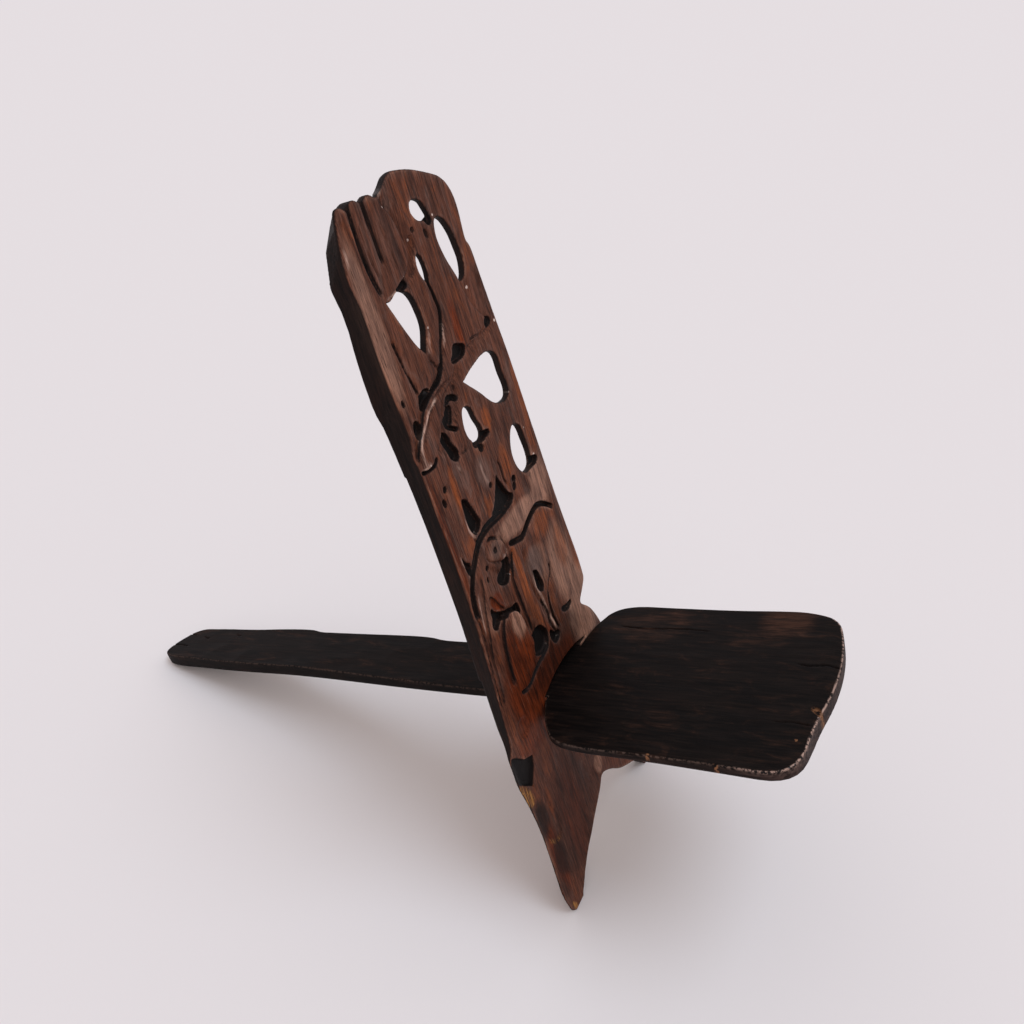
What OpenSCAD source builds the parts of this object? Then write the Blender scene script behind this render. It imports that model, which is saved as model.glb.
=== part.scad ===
// Carved two-plank folding chair.
// A tall carved back plank stands on two feet and leans backward.
// A seat plank is pushed through a slot in it: its broad paddle is the seat,
// and its narrow tail runs down behind to the floor, so the two planks form an X.
// The paddle's shoulders press on the back plank, and the chair comes apart by
// drawing the seat plank forward out of the slot.
// X is across the chair, the sitter faces -Y, and Z is up from the floor.

/* [Stance] */
// Lean of the back plank from upright, in degrees; the seat plank is square to it
lean = 19; // [17:0.1:21]
// Lower edge of the slot, measured up the back plank from the floor
slot_height = 264; // [250:1:278]

/* [Back plank] */
// Length of the back plank from the floor to the top of its crown
back_len = 918; // [890:1:950]
// Thickness of the back plank along its left edge and at its base
back_thick = 22; // [20:0.5:26]
// Thickness of the carved panel, which is cut back from behind
panel_thick = 10; // [8:0.5:13]
// Height up the back plank where the thinner panel begins
panel_start = 525; // [500:1:540]
// Full-thickness rail left behind the panel's left edge
rail_w = 28; // [20:1:34]
// Left edge of the panel from the centreline, below the crown
left_top = 144; // [140:1:150]
// Left edge of the panel from the centreline, at its narrowest
left_mid = 134; // [130:1:138]
// Left edge from the centreline, beside the slot
left_hip = 156; // [150:1:160]
// Right edge of the panel from the centreline, below the crown
right_top = 73; // [70:1:80]
// Right edge of the panel from the centreline, at its middle
right_mid = 91; // [88:1:98]
// Right edge from the centreline, just above the waist notch
right_hip = 109; // [104:1:114]
// Right edge from the centreline, beside the slot
right_shoulder = 120; // [114:1:128]
// Width of the arched hollow over the slot, in line with the paddle
mouth_w = 138; // [124:1:146]
// Rise of the arched hollow over the slot, at the front face
mouth_rise = 13; // [6:1:16]

/* [Crown] */
// Left end of the raised crown from the centreline
crown_left = 62; // [56:1:68]
// How far the notches between the finger ribs stay below the crown
rib_drop = 22; // [18:1:28]
// Number of finger ribs between the crown and the left rail
rib_count = 2; // [2:1:4]
// How far each finger rib's round end stands up
rib_rise = 8; // [5:0.5:10]
// Width of the left rail's round end
rail_end = 34; // [28:1:38]
// Thickness left at the crown's bevelled top and left edge
crown_edge = 5; // [4:0.5:8]
// Depth of the bevel behind the rounded left corner
corner_bevel = 10; // [4:1:12]

/* [Waist] */
// Height of the waist notch in the right edge, up the back plank
notch_height = 335; // [328:1:348]
// Depth of the waist notch
notch_depth = 29; // [20:1:34]

/* [Feet] */
// Outer edge of each foot from the centreline
foot_spread = 158; // [152:1:166]
// Width of each foot's sole
foot_w = 24; // [20:1:34]
// Width of the long bevel behind each foot's outer edge
foot_bevel = 40; // [30:1:44]
// Height up the back plank where that bevel begins
bevel_start = 640; // [600:5:680]
// Height of the arch between the feet
arch_height = 97; // [80:1:108]
// Peak of the arch from the centreline
arch_x = 8; // [-10:1:20]

/* [Seat plank] */
// Thickness of the seat plank
seat_thick = 24; // [20:0.5:28]
// Width of the paddle
paddle_w = 279; // [260:1:300]
// Length of the paddle from the back plank to its front edge
paddle_len = 334; // [300:1:360]
// Middle of the paddle from the chair's centreline
paddle_x = 5; // [0:1:8]
// How far the paddle's near front corner stays behind its far one
front_skew = 16; // [4:1:20]
// Rounding at the front corners of the paddle
front_r = 40; // [25:1:60]
// Thickness left at the paddle's side edges beside the back plank
edge_back = 9; // [6:0.5:14]
// Thickness left at the paddle's side edges near its front
edge_front = 15; // [12:0.5:20]
// Width of the bevel under each side of the paddle
thin_w = 62; // [40:1:70]

/* [Tail] */
// Width of the tail at its widest, which is what the slot has to pass
tail_w = 104; // [96:1:108]
// Width of the tail at its floor end
tail_end_w = 80; // [70:1:88]
// Middle of the tail from the chair's centreline
tail_x = -3; // [-8:1:4]
// Depth of the hand-cut dips between the swells of the tail's right side
tail_dip = 7; // [3:1:10]
// Depth of the waist in the tail's left side
tail_waist = 11; // [5:1:14]
// Width of the bevel under each side of the tail
tail_bevel = 22; // [14:1:30]
// Width of each shoulder that presses on the back plank
shoulder_w = 9; // [6:1:20]
// How far the tail runs past the line where it meets the floor
tail_over = 5; // [4:1:16]

/* [Fits] */
// Play round the tail in the slot, on each side
slot_play = 0.8; // [0.5:0.1:2]
// Gap between the shoulders and the back plank at rest
seat_gap = 0.3; // [0.2:0.1:0.6]

/* [Hidden] */

// Steps in each rounded corner, and between two points of a smooth ring
corner_steps = 6;
ring_steps = 5;
// How far cutting bodies run past what they cut
over = 5;
// How far the feet run below the floor before they are cut flat
foot_over = 12;
// Length of the tail from the back plank's front face to the floor
tail_len = slot_height / tan(lean);
tail_end = tail_len + tail_over;
// How far the slot's lower edge lies behind the back plank's floor line
slot_y = slot_height * sin(lean);
// Height of the notches between the ribs, and the space that each rib takes
rib_top = back_len - rib_drop;
rib_pitch = (left_top - rail_end - crown_left) / rib_count;
// How far in each bevel behind the crown runs, for each mm of its depth
crown_slope = 1.3;
crown_end_slope = 1.45;
// How far the step behind the panel runs, for each mm of its depth
panel_slope = 3;
// Turn of the foot's bevel toward the foot below the slot, in degrees, and over how long
foot_turn = 7.8;
turn_len = 124;
// How far the arc of the hollow over the slot is drawn past its ends
arc_past = 1.1;
// Sides of the paddle, of the tail, and of the shoulders beside the tail
paddle_left = paddle_x - paddle_w / 2;
paddle_right = paddle_x + paddle_w / 2;
tail_left = tail_x - tail_w / 2;
tail_right = tail_x + tail_w / 2;
shoulder_left = tail_left - shoulder_w;
shoulder_right = tail_right + shoulder_w;

// A polygon with rounded corners: each point is [x, y, rounding].
// The corner is a parabola that starts and ends the rounding away from the point,
// but never more than half a side.
function corner(a, p, b, n) =
    let (
        pa = [a.x - p.x, a.y - p.y],
        pb = [b.x - p.x, b.y - p.y],
        pc = [p.x, p.y],
        from = pc + pa * min(p.z / norm(pa), 0.5),
        to = pc + pb * min(p.z / norm(pb), 0.5)
    )
    p.z == 0 ? [pc] : [for (i = [0:n])
        let (t = i / n)
        from * (1 - t) * (1 - t) + pc * 2 * t * (1 - t) + to * t * t];

function soft(points, n = corner_steps) =
    let (last = len(points) - 1)
    [for (i = [0:last])
        each corner(points[i == 0 ? last : i - 1], points[i], points[i == last ? 0 : i + 1], n)];

// A smooth closed curve through its points: each stretch is a cubic whose ends
// follow the curve's heading there. A point with the third value 1 is a sharp corner.
function unit(v) = v / norm(v);

function flat(p) = [p.x, p.y];

function heading(a, p, b) = unit(unit(p - a) + unit(b - p));

function stretch(p, b, from, to, n) =
    let (reach = norm(b - p) / 3)
    [for (i = [0:n - 1])
        let (t = i / n, s = 1 - t)
        p * s * s * s + (p + from * reach) * 3 * t * s * s
            + (b - to * reach) * 3 * t * t * s + b * t * t * t];

function ring(points, n = ring_steps) =
    let (
        count = len(points),
        spots = [for (p = points) flat(p)],
        turns = [for (i = [0:count - 1])
            heading(spots[(i + count - 1) % count], spots[i], spots[(i + 1) % count])]
    )
    [for (i = [0:count - 1])
        let (
            next = (i + 1) % count,
            chord = unit(spots[next] - spots[i]),
            from = points[i].z == 1 ? chord : turns[i],
            to = points[next].z == 1 ? chord : turns[next]
        )
        each stretch(spots[i], spots[next], from, to, n)];

// Reach of a list of points to one side, along x (0) or y (1)
function low(points, way) = min([for (p = points) p[way]]);
function high(points, way) = max([for (p = points) p[way]]);

// Middle of the chair's overall box, which becomes the origin
centre_x = (low(back_outline(), 0) + high(back_outline(), 0)) / 2;
front_y = slot_y + low(paddle_outline(), 1) * cos(lean);
rear_y = slot_y + high(tail_outline(), 1) * cos(lean) + seat_thick * sin(lean);
centre_y = (front_y + rear_y) / 2;

// Places a shape on the back plank: x across, y up the plank, z out of its front face
module on_back() {
    translate([-centre_x, -centre_y, 0])
        rotate([90 - lean, 0, 0])
            children();
}

// Places a shape on the seat plank: y runs from the back plank's face toward the
// tail, so the paddle lies at negative y, and z is up from the underside
module on_seat() {
    translate([-centre_x, slot_y - centre_y, slot_height * cos(lean)])
        rotate([-lean, 0, 0])
            children();
}

// The round ends of the finger ribs, from the crown to the left rail
function rib_ends() = [for (i = [0:rib_count - 1])
    let (x = -crown_left - i * rib_pitch)
    each [
        [x - 1, rib_top, 2],
        [x - rib_pitch / 2, rib_top + rib_rise, rib_pitch],
        [x - rib_pitch + 1, rib_top, 2]
    ]];

function back_outline() = soft(concat(
    // Left foot, cut off by the floor later
    [
        [-foot_spread, 40, 24],
        [-foot_spread + 14, 2, 14],
        [-foot_spread + 18, -foot_over, 0],
        [-foot_spread + 16 + foot_w, -foot_over, 0],
        [-foot_spread + 16 + foot_w, 0, 6]
    ],
    // Arch between the feet
    [
        [arch_x - 98, arch_height * 0.37, 20],
        [arch_x - 65, arch_height * 0.54, 30],
        [arch_x - 13, arch_height * 0.86, 18],
        [arch_x, arch_height + 1, 12],
        [arch_x + 27, arch_height * 0.84, 22],
        [arch_x + 52, arch_height * 0.58, 24],
        [foot_spread - 52, 32, 22]
    ],
    // Right foot
    [
        [foot_spread - 3 - foot_w, 0, 6],
        [foot_spread - 3 - foot_w, -foot_over, 0],
        [foot_spread - 3, -foot_over, 0],
        [foot_spread, 61, 40]
    ],
    // Right side from the foot over the waist notch to the crown
    [
        [right_shoulder + 24, slot_height - 110, 90],
        [right_shoulder, notch_height - 58, 36],
        [right_hip - 5, notch_height - 24, 12],
        [right_hip - notch_depth, notch_height, 8],
        [right_hip, notch_height + 22, 6],
        [right_hip, notch_height + 56, 40],
        [right_mid + 7, notch_height + 145, 80],
        [right_mid, back_len - 330, 90],
        [right_mid - 4, back_len - 254, 90],
        [right_top + 7, back_len - 185, 90],
        [right_top, back_len - 97, 8]
    ],
    // Crown
    [
        [right_top - 8, back_len - 91, 6],
        [right_top - 2, back_len - 46, 20],
        [right_top - 14, back_len - 23, 16],
        [10, back_len - 5, 40],
        [-20, back_len, 20],
        [-crown_left + 28, back_len, 12],
        [-crown_left + 11, back_len - 12, 10]
    ],
    rib_ends(),
    // Round end of the left rail, and the left edge down to the foot
    [
        [-left_top + rail_end - 1, rib_top - 1, 2],
        [-left_top + 25, rib_top + 6, 10],
        [-left_top + 17, rib_top + 4, 6],
        [-left_top + 10, rib_top - 18, 14],
        [-left_top + 4, rib_top - 42, 24],
        [-left_top + 1, back_len - 110, 60],
        [-left_top, back_len - 180, 60],
        [-left_mid - 3, back_len - 240, 60],
        [-left_mid, back_len - 380, 90],
        [-left_mid - 3, slot_height + 170, 90],
        [-left_hip + 10, slot_height + 78, 60],
        [-left_hip + 4, slot_height + 26, 10],
        [-left_hip - 8, slot_height + 12, 6],
        [-left_hip - 9, slot_height - 22, 10],
        [-left_hip - 1, slot_height - 66, 40],
        [-left_hip + 3, slot_height - 120, 60]
    ]
));

// Openings that are carved right through the panel.
// Heights are measured down from the crown.
// Openings near an edge are placed from that edge.
module eyelet() {
    polygon(ring([
        [-17, -40], [-13, -31, 1], [10, -36, 1], [13, -45],
        [18, -54, 1], [4, -56], [-8, -54], [-15, -48]
    ]));
}

module crescent() {
    x = right_top - 73;
    polygon(ring([
        [x + 13, -70], [x + 22, -57], [x + 34, -59], [x + 45, -75], [x + 50, -94],
        [x + 54, -107], [x + 44, -131], [x + 36, -133], [x + 22, -111], [x + 12, -82]
    ]));
}

module sliver() {
    polygon(ring([[-26, -79], [-23, -88], [-22, -106], [-21, -121, 1], [-33, -105], [-35, -90]]));
}

module teardrop() {
    x = 144 - left_top;
    polygon(ring([
        [x - 101, -109, 1], [x - 76, -106], [x - 60, -115], [x - 52, -138], [x - 50, -151],
        [x - 57, -165], [x - 64, -176, 1], [x - 75, -163], [x - 90, -135]
    ]));
}

module triangle() {
    x = right_mid - 91;
    polygon(ring([
        [x - 19, -224, 1], [x + 6, -216], [x + 42, -211], [x + 59, -219], [x + 62, -242],
        [x + 60, -269], [x + 48, -272], [x + 27, -268], [x + 5, -246]
    ]));
}

module leaf() {
    polygon(ring([
        [-35, -248], [-23, -253], [-18, -269], [-12, -286], [-16, -293],
        [-32, -293], [-43, -281], [-44, -261]
    ]));
}

module drop() {
    x = right_mid - 91;
    polygon(ring([
        [x + 47, -306], [x + 61, -312], [x + 66, -333], [x + 70, -354], [x + 66, -364],
        [x + 50, -367], [x + 33, -354], [x + 27, -335], [x + 34, -316]
    ]));
}

module openings() {
    translate([0, back_len]) {
        eyelet();
        crescent();
        sliver();
        teardrop();
        triangle();
        leaf();
        drop();
    }
}

// Wood cut away behind the panel, running out from the left rail to the right edge
module panel_back() {
    cut = back_thick - panel_thick;
    far = foot_spread + over;
    translate([0, panel_start, -back_thick])
        rotate([90, 0, 180])
            linear_extrude(back_len)
                polygon([
                    [left_top - rail_w, -over],
                    [left_top - rail_w, 0],
                    [left_top - rail_w - panel_slope * cut, cut],
                    [-far, cut],
                    [-far, -over]
                ]);
}

// One straight stretch of the bevel behind the left foot. It starts at the height
// top, edge from the centreline, turns in by turn degrees and is length long.
module long_bevel(top, edge, turn, length) {
    translate([edge, top, 0])
        rotate([90, 0, turn])
            linear_extrude(length + 2 * over)
                polygon([
                    [0, 0],
                    [foot_bevel, -back_thick],
                    [foot_bevel, -back_thick - over],
                    [-3 * over, -back_thick - over],
                    [-3 * over, 0]
                ]);
}

// Long bevel behind the left foot's outer edge: straight, then in toward the foot
module foot_back() {
    edge = -max(left_hip + 18, foot_spread + 16);
    turn_top = slot_height + 50;
    long_bevel(bevel_start, edge, 0, bevel_start + 2 * foot_over);
    long_bevel(turn_top, edge, foot_turn, turn_len);
    long_bevel(turn_top - turn_len, edge + turn_len * tan(foot_turn), 0, turn_top);
}

// Arched hollow over the slot, deepest at the front face and gone at the rear
module slot_mouth() {
    radius = (mouth_w * mouth_w / 4 + mouth_rise * mouth_rise) / 2 / mouth_rise;
    half_turn = asin(mouth_w / 2 / radius);
    tilt = atan(mouth_rise / back_thick);
    // Drawn past its ends, so that none of its corners lies on the level where it is cut
    arc = [for (i = [-corner_steps:corner_steps])
        let (turn = arc_past * half_turn * i / corner_steps)
        [radius * sin(turn), (radius * cos(turn) - radius + mouth_rise) * cos(tilt)]];
    translate([paddle_x, slot_height + seat_thick, 0])
        intersection() {
            rotate([-tilt, 0, 0])
                translate([0, 0, -2 * back_thick])
                    linear_extrude(3 * back_thick)
                        polygon(concat(arc, [[mouth_w / 2, -over], [-mouth_w / 2, -over]]));
            translate([-mouth_w, 0, -back_thick - over])
                cube([2 * mouth_w, mouth_rise + over, back_thick + 2 * over]);
        }
}

// Bevel behind an edge of the crown. The edge runs through the point at, faces the
// way that turn gives, and is length long; run is how far in the bevel reaches.
module edge_back_bevel(at, turn, length, run) {
    drop = back_thick - crown_edge;
    translate([at.x, at.y, -crown_edge])
        rotate([90, 0, turn])
            linear_extrude(length, center = true)
                polygon([[0, 0], [-run, -drop], [2 * over, -drop], [2 * over, 0]]);
}

// Bevels behind the crown's top, its left end and the rounded left corner
module crown_back() {
    drop = back_thick - crown_edge;
    edge_back_bevel([0, back_len + 3], 90, 2 * foot_spread, drop * crown_slope);
    edge_back_bevel([-crown_left, back_len], 180, 2 * rib_drop, drop * crown_end_slope);
    edge_back_bevel([-left_top + 18, rib_top - 4], 138, 2 * rail_end, corner_bevel);
    edge_back_bevel([-left_top + 8, rib_top - 34], 160, 2 * rail_end, corner_bevel / 3);
}

// Carved plank that stands on the floor; the slot's walls are square to its face
module back_plank() {
    color([0.36, 0.22, 0.15])
    intersection() {
        on_back()
            translate([0, 0, -back_thick])
                difference() {
                    linear_extrude(back_thick)
                        difference() {
                            polygon(back_outline());
                            openings();
                        }
                    translate([
                        tail_x - tail_w / 2 - slot_play,
                        slot_height - slot_play,
                        -over
                    ])
                        cube([
                            tail_w + 2 * slot_play,
                            seat_thick + 2 * slot_play,
                            back_thick + 2 * over
                        ]);
                    translate([0, 0, back_thick]) {
                        panel_back();
                        crown_back();
                        slot_mouth();
                        foot_back();
                        mirror([1, 0, 0])
                            foot_back();
                    }
                }
        above_floor();
    }
}

// Everything above the floor, to cut the feet and the tail flat
module above_floor() {
    reach = 3 * back_len;
    translate([-reach / 2, -reach / 2, 0])
        cube([reach, reach, reach]);
}

function paddle_outline() = soft([
    [shoulder_right, -seat_gap, 0],
    [shoulder_left, -seat_gap, 0],
    [(shoulder_left + paddle_left) / 2, -16, 30],
    [paddle_left + 6, -38, 20],
    [paddle_left, -74, 26],
    [paddle_left + 3, -paddle_len / 2, 60],
    [paddle_left, -paddle_len + front_skew, front_r],
    [paddle_x - 60, -paddle_len + front_skew - 5, 24],
    [paddle_x, -paddle_len, 40],
    [paddle_x + 64, -paddle_len, 40],
    [paddle_right - 20, -paddle_len + 16, front_r * 0.7],
    [paddle_right, -paddle_len + 56, front_r * 0.7],
    [paddle_right - 2, -paddle_len / 2, 60],
    [paddle_right, -48, 24],
    [paddle_right - 13, -17, 18],
    [shoulder_right + 34, -2, 20]
]);

// Outline of the tail, with the swells and dips of a hand-cut edge on its right
function tail_outline() = soft([
    [tail_left, -paddle_len / 4, 0],
    [tail_right, -paddle_len / 4, 0],
    [tail_right, back_thick, 10],
    [tail_right - tail_dip, tail_len * 0.17, 60],
    [tail_right - tail_dip, tail_len * 0.29, 10],
    [tail_right, tail_len * 0.33, 40],
    [tail_right - 3, tail_len * 0.47, 80],
    [tail_right - tail_dip, tail_len * 0.61, 12],
    [tail_right, tail_len * 0.65, 50],
    [tail_left + tail_waist + tail_end_w, tail_len * 0.83, 60],
    [tail_left + tail_waist + tail_end_w - 7, tail_end - 18, 24],
    [tail_left + tail_end_w / 2, tail_end + 2, 24],
    [tail_left + 12, tail_end, 14],
    [tail_left + 6, tail_end - 28, 20],
    [tail_left + 5, tail_len * 0.75, 60],
    [tail_left + tail_waist, tail_len * 0.57, 90],
    [tail_left, tail_len * 0.22, 90],
    [tail_left, back_thick, 10]
]);

// Bevel under a side: the edge left above it goes from one thickness to another
module thinning(run, width, edge_from, edge_to) {
    rise = seat_thick - edge_from;
    tilt = atan((edge_to - edge_from) / run);
    rotate([90 + tilt, 0, 0])
        linear_extrude(run + over)
            polygon([
                [-over, -rise - over],
                [width, -rise - over],
                [width, 0],
                [0, rise],
                [-over, rise + rise * over / width]
            ]);
}

module side_bevels() {
    translate([paddle_left, 0, 0])
        thinning(paddle_len, thin_w, edge_back, edge_front);
    translate([paddle_right, 0, 0])
        mirror([1, 0, 0])
            thinning(paddle_len, thin_w, edge_back, edge_front);
    translate([tail_left, 0, 0])
        mirror([0, 1, 0])
            thinning(tail_end, tail_bevel, seat_thick / 2, seat_thick);
    translate([tail_right, 0, 0])
        mirror([1, 0, 0])
            mirror([0, 1, 0])
                thinning(tail_end, tail_bevel, seat_thick / 2, seat_thick);
}

// Paddle, shoulders and tail in one plank
module seat_plank() {
    color([0.13, 0.1, 0.09])
    intersection() {
        on_seat()
            difference() {
                linear_extrude(seat_thick)
                    union() {
                        polygon(paddle_outline());
                        polygon(tail_outline());
                    }
                side_bevels();
            }
        above_floor();
    }
}

back_plank();
seat_plank();
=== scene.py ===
# %% [markdown]
# # A carved folding chair
#
# The chair is two planks of dark wood. The tall back plank is carved on its front
# and pierced, and stands on two feet. The seat plank is pushed through a slot in it:
# its broad end is the seat, and its narrow end, the tail, reaches the floor behind.
#
# The script loads the packed solids first. They fix where everything is.
# The planks are then carved again, finer, and each carved mesh stands for its solid.

# %% The packed solids
import math
from itertools import product

import bpy
import numpy as np
from mathutils import Matrix, Vector


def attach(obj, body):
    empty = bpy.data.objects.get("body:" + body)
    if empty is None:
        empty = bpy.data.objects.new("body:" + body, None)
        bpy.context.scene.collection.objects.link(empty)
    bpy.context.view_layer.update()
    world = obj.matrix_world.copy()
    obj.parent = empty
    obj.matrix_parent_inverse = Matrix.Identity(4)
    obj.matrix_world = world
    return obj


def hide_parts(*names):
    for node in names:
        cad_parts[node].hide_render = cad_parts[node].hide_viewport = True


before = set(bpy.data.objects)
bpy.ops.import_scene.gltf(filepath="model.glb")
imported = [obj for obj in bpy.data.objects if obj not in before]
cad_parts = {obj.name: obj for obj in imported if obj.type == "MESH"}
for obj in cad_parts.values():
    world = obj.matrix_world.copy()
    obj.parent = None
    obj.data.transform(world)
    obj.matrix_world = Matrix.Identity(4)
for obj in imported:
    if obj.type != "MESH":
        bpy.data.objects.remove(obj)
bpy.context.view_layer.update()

# %% [markdown]
# ## Where the planks lie
#
# Each plank is easiest to draw lying flat: x across it, y along it, and z up from
# a face. All of this is in millimetres, as on a maker's drawing. Two small
# functions then stand the finished points up in the chair, in metres.
# The back plank leans 19 degrees, and the seat plank is square to it.

# %% Placing the planks
LEAN = math.radians(19)
SLOT_HEIGHT = 264
SLOT_PLAY = 0.8
BACK_LEN = 918
BACK_THICK = 22
SEAT_THICK = 24
TAIL_LEFT, TAIL_RIGHT = -55, 49
# Where the middle of the solids' box lies on the floor, seen from the back plank's foot
CENTRE = (-3.977, 297.276)
MM = 0.001


def stand_back(p):
    """Drawing of the back plank to the chair: z is out of its front face."""
    x, y, z = p.T
    return MM * np.stack([
        x - CENTRE[0],
        y * math.sin(LEAN) - z * math.cos(LEAN) - CENTRE[1],
        y * math.cos(LEAN) + z * math.sin(LEAN),
    ], axis=1)


def stand_seat(p):
    """Drawing of the seat plank to the chair: y runs to the tail, z up from the underside."""
    x, y, z = p.T
    return MM * np.stack([
        x - CENTRE[0],
        y * math.cos(LEAN) + z * math.sin(LEAN) + SLOT_HEIGHT * math.sin(LEAN) - CENTRE[1],
        -y * math.sin(LEAN) + z * math.cos(LEAN) + SLOT_HEIGHT * math.cos(LEAN),
    ], axis=1)


print("top of the crown, metres:", stand_back(np.array([[0.0, BACK_LEN, 0.0]]))[0].round(4))

# %% [markdown]
# ## Outlines
#
# A hand-cut plank has no straight lines and no true arcs. Two kinds of line cover
# it: a polygon whose corners are rounded one by one, for the outsides, and a
# closed curve that passes smoothly through its points, for openings and pits.

# %% Rounded polygons and smooth rings
CORNER_STEPS = 6
RING_STEPS = 6


def soft(points):
    """A polygon whose points are (x, y, rounding)."""
    made = []
    for i, (x, y, r) in enumerate(points):
        here = np.array([x, y], float)
        to_last = np.array(points[i - 1][:2], float) - here
        to_next = np.array(points[(i + 1) % len(points)][:2], float) - here
        if r == 0:
            made.append(here)
            continue
        start = here + to_last * min(r / np.linalg.norm(to_last), 0.5)
        end = here + to_next * min(r / np.linalg.norm(to_next), 0.5)
        for t in np.linspace(0, 1, CORNER_STEPS + 1):
            made.append(start * (1 - t) ** 2 + here * 2 * t * (1 - t) + end * t * t)
    return np.array(made)


def curve(a, b, leave, arrive):
    """Points from a up to b that leave and arrive in the given directions."""
    reach = np.linalg.norm(b - a) / 3
    made = []
    for t in np.arange(RING_STEPS) / RING_STEPS:
        s = 1 - t
        made.append(a * s ** 3 + (a + leave * reach) * 3 * t * s * s
                    + (b - arrive * reach) * 3 * t * t * s + b * t ** 3)
    return made


def ring(points):
    """A smooth closed curve through the points; a third value of 1 marks a sharp corner."""
    p = np.array([point[:2] for point in points], float)
    sharp = [len(point) > 2 for point in points]
    ahead = np.roll(p, -1, 0) - p
    ahead /= np.linalg.norm(ahead, axis=1)[:, None]
    turn = ahead + np.roll(ahead, 1, 0)
    turn /= np.linalg.norm(turn, axis=1)[:, None]
    made = []
    for i in range(len(p)):
        after = (i + 1) % len(p)
        leave = ahead[i] if sharp[i] else turn[i]
        arrive = ahead[i] if sharp[after] else turn[after]
        made += curve(p[i], p[after], leave, arrive)
    return np.array(made)


def sweep(points):
    """A smooth open curve through the points."""
    p = np.array(points, float)
    turn = np.gradient(p, axis=0)
    turn /= np.linalg.norm(turn, axis=1)[:, None]
    made = []
    for i in range(len(p) - 1):
        made += curve(p[i], p[i + 1], turn[i], turn[i + 1])
    return np.array(made + [p[-1]])


print("points round a soft triangle:", len(soft([(0, 0, 2), (9, 0, 2), (0, 9, 2)])))

# %% [markdown]
# ## Distance maps
#
# The carving is worked out as numbers on a fine sheet of squares. For each square
# the map holds how far it is from a line: below nothing inside, above it outside.
# Walls, rounded edges, grooves and worn rims are all simple sums of such distances,
# and so they fit each other everywhere. Drawing each facet by hand would not.

# %% Sheets and distances
# Side of a square of a sheet, and of a cell of the blocks that are carved later
STEP = 1.3
# The longest distance that a map holds, where no other is asked for
REACH = 30


class Sheet:
    """A sheet of squares over a plank's drawing, in millimetres."""

    def __init__(self, low, high):
        self.low = np.array(low, float)
        self.x = np.arange(low[0], high[0] + STEP, STEP)
        self.y = np.arange(low[1], high[1] + STEP, STEP)
        self.across, self.along = np.meshgrid(self.x, self.y, indexing="ij")

    def window(self, points, margin):
        """The part of the sheet that is near some points."""
        low, high = points.min(0) - margin, points.max(0) + margin
        return (slice(*np.searchsorted(self.x, [low[0], high[0]])),
                slice(*np.searchsorted(self.y, [low[1], high[1]])))

    def near_line(self, points, closed, margin=REACH):
        """Distance from a line, the side of it, and how far along it the nearest place is."""
        w = self.window(points, margin)
        shape = self.across.shape
        far, side, run = (np.full(shape, float(margin)), np.ones(shape), np.zeros(shape))
        x, y = self.across[w], self.along[w]
        best, sign, place = np.full(x.shape, 1e9), np.ones(x.shape), np.zeros(x.shape)
        inside, done = np.zeros(x.shape, bool), 0.0
        ends = np.roll(points, -1, 0) if closed else points[1:]
        for (ax, ay), (bx, by) in zip(points, ends):
            ex, ey = bx - ax, by - ay
            length2 = ex * ex + ey * ey + 1e-12
            t = np.clip(((x - ax) * ex + (y - ay) * ey) / length2, 0, 1)
            gap = (x - ax - t * ex) ** 2 + (y - ay - t * ey) ** 2
            nearer = gap < best
            best = np.where(nearer, gap, best)
            sign = np.where(nearer, np.sign(ex * (y - ay) - ey * (x - ax)), sign)
            place = np.where(nearer, done + t * math.sqrt(length2), place)
            done += math.sqrt(length2)
            if closed:
                inside ^= ((ay > y) != (by > y)) & (x < ex * (y - ay) / (by - ay + 1e-12) + ax)
        far[w] = np.minimum(np.sqrt(best), margin)
        side[w] = np.where(inside, -1, 1) if closed else sign
        run[w] = place
        return far, side, run, done

    def inside(self, points, margin=REACH):
        """Distance from a closed line, below nothing inside it."""
        far, side, _, _ = self.near_line(points, True, margin)
        return far * side

    def read(self, values, p):
        """A map's values at places of the drawing."""
        u = np.clip((p[:, 0] - self.x[0]) / STEP, 0, len(self.x) - 1.001)
        v = np.clip((p[:, 1] - self.y[0]) / STEP, 0, len(self.y) - 1.001)
        i, j = u.astype(int), v.astype(int)
        u, v = u - i, v - j
        return (values[i, j] * (1 - u) * (1 - v) + values[i + 1, j] * u * (1 - v)
                + values[i, j + 1] * (1 - u) * v + values[i + 1, j + 1] * u * v)


def ease(t):
    """0 up to 0, 1 from 1 on, smooth between."""
    t = np.clip(t, 0, 1)
    return t * t * (3 - 2 * t)


def both(a, b, rounding):
    """Where two fields hold together, the edge between them rounded by so much."""
    h = np.clip(1 - np.abs(a - b) / rounding, 0, None)
    return np.maximum(a, b) + h * h * rounding / 4


trial_square = np.array([(5, 5), (35, 5), (35, 35), (5, 35)], float)
trial = Sheet((0, 0), (40, 40)).inside(trial_square)
print("inside a trial square of 30 mm the distance goes down to", round(trial.min(), 1))

# %% Waves and softening
def ripples(sheet, seed, wide, long):
    """Soft random waves from -1 to 1, so wide and so long."""
    rng = np.random.default_rng(seed)
    u = (sheet.across - sheet.x[0]) / wide
    v = (sheet.along - sheet.y[0]) / long
    knots = rng.uniform(-1, 1, (int(u.max()) + 3, int(v.max()) + 3))
    i, j = u.astype(int), v.astype(int)
    a, b = ease(u - i), ease(v - j)
    return (knots[i, j] * (1 - a) * (1 - b) + knots[i + 1, j] * a * (1 - b)
            + knots[i, j + 1] * (1 - a) * b + knots[i + 1, j + 1] * a * b)


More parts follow.
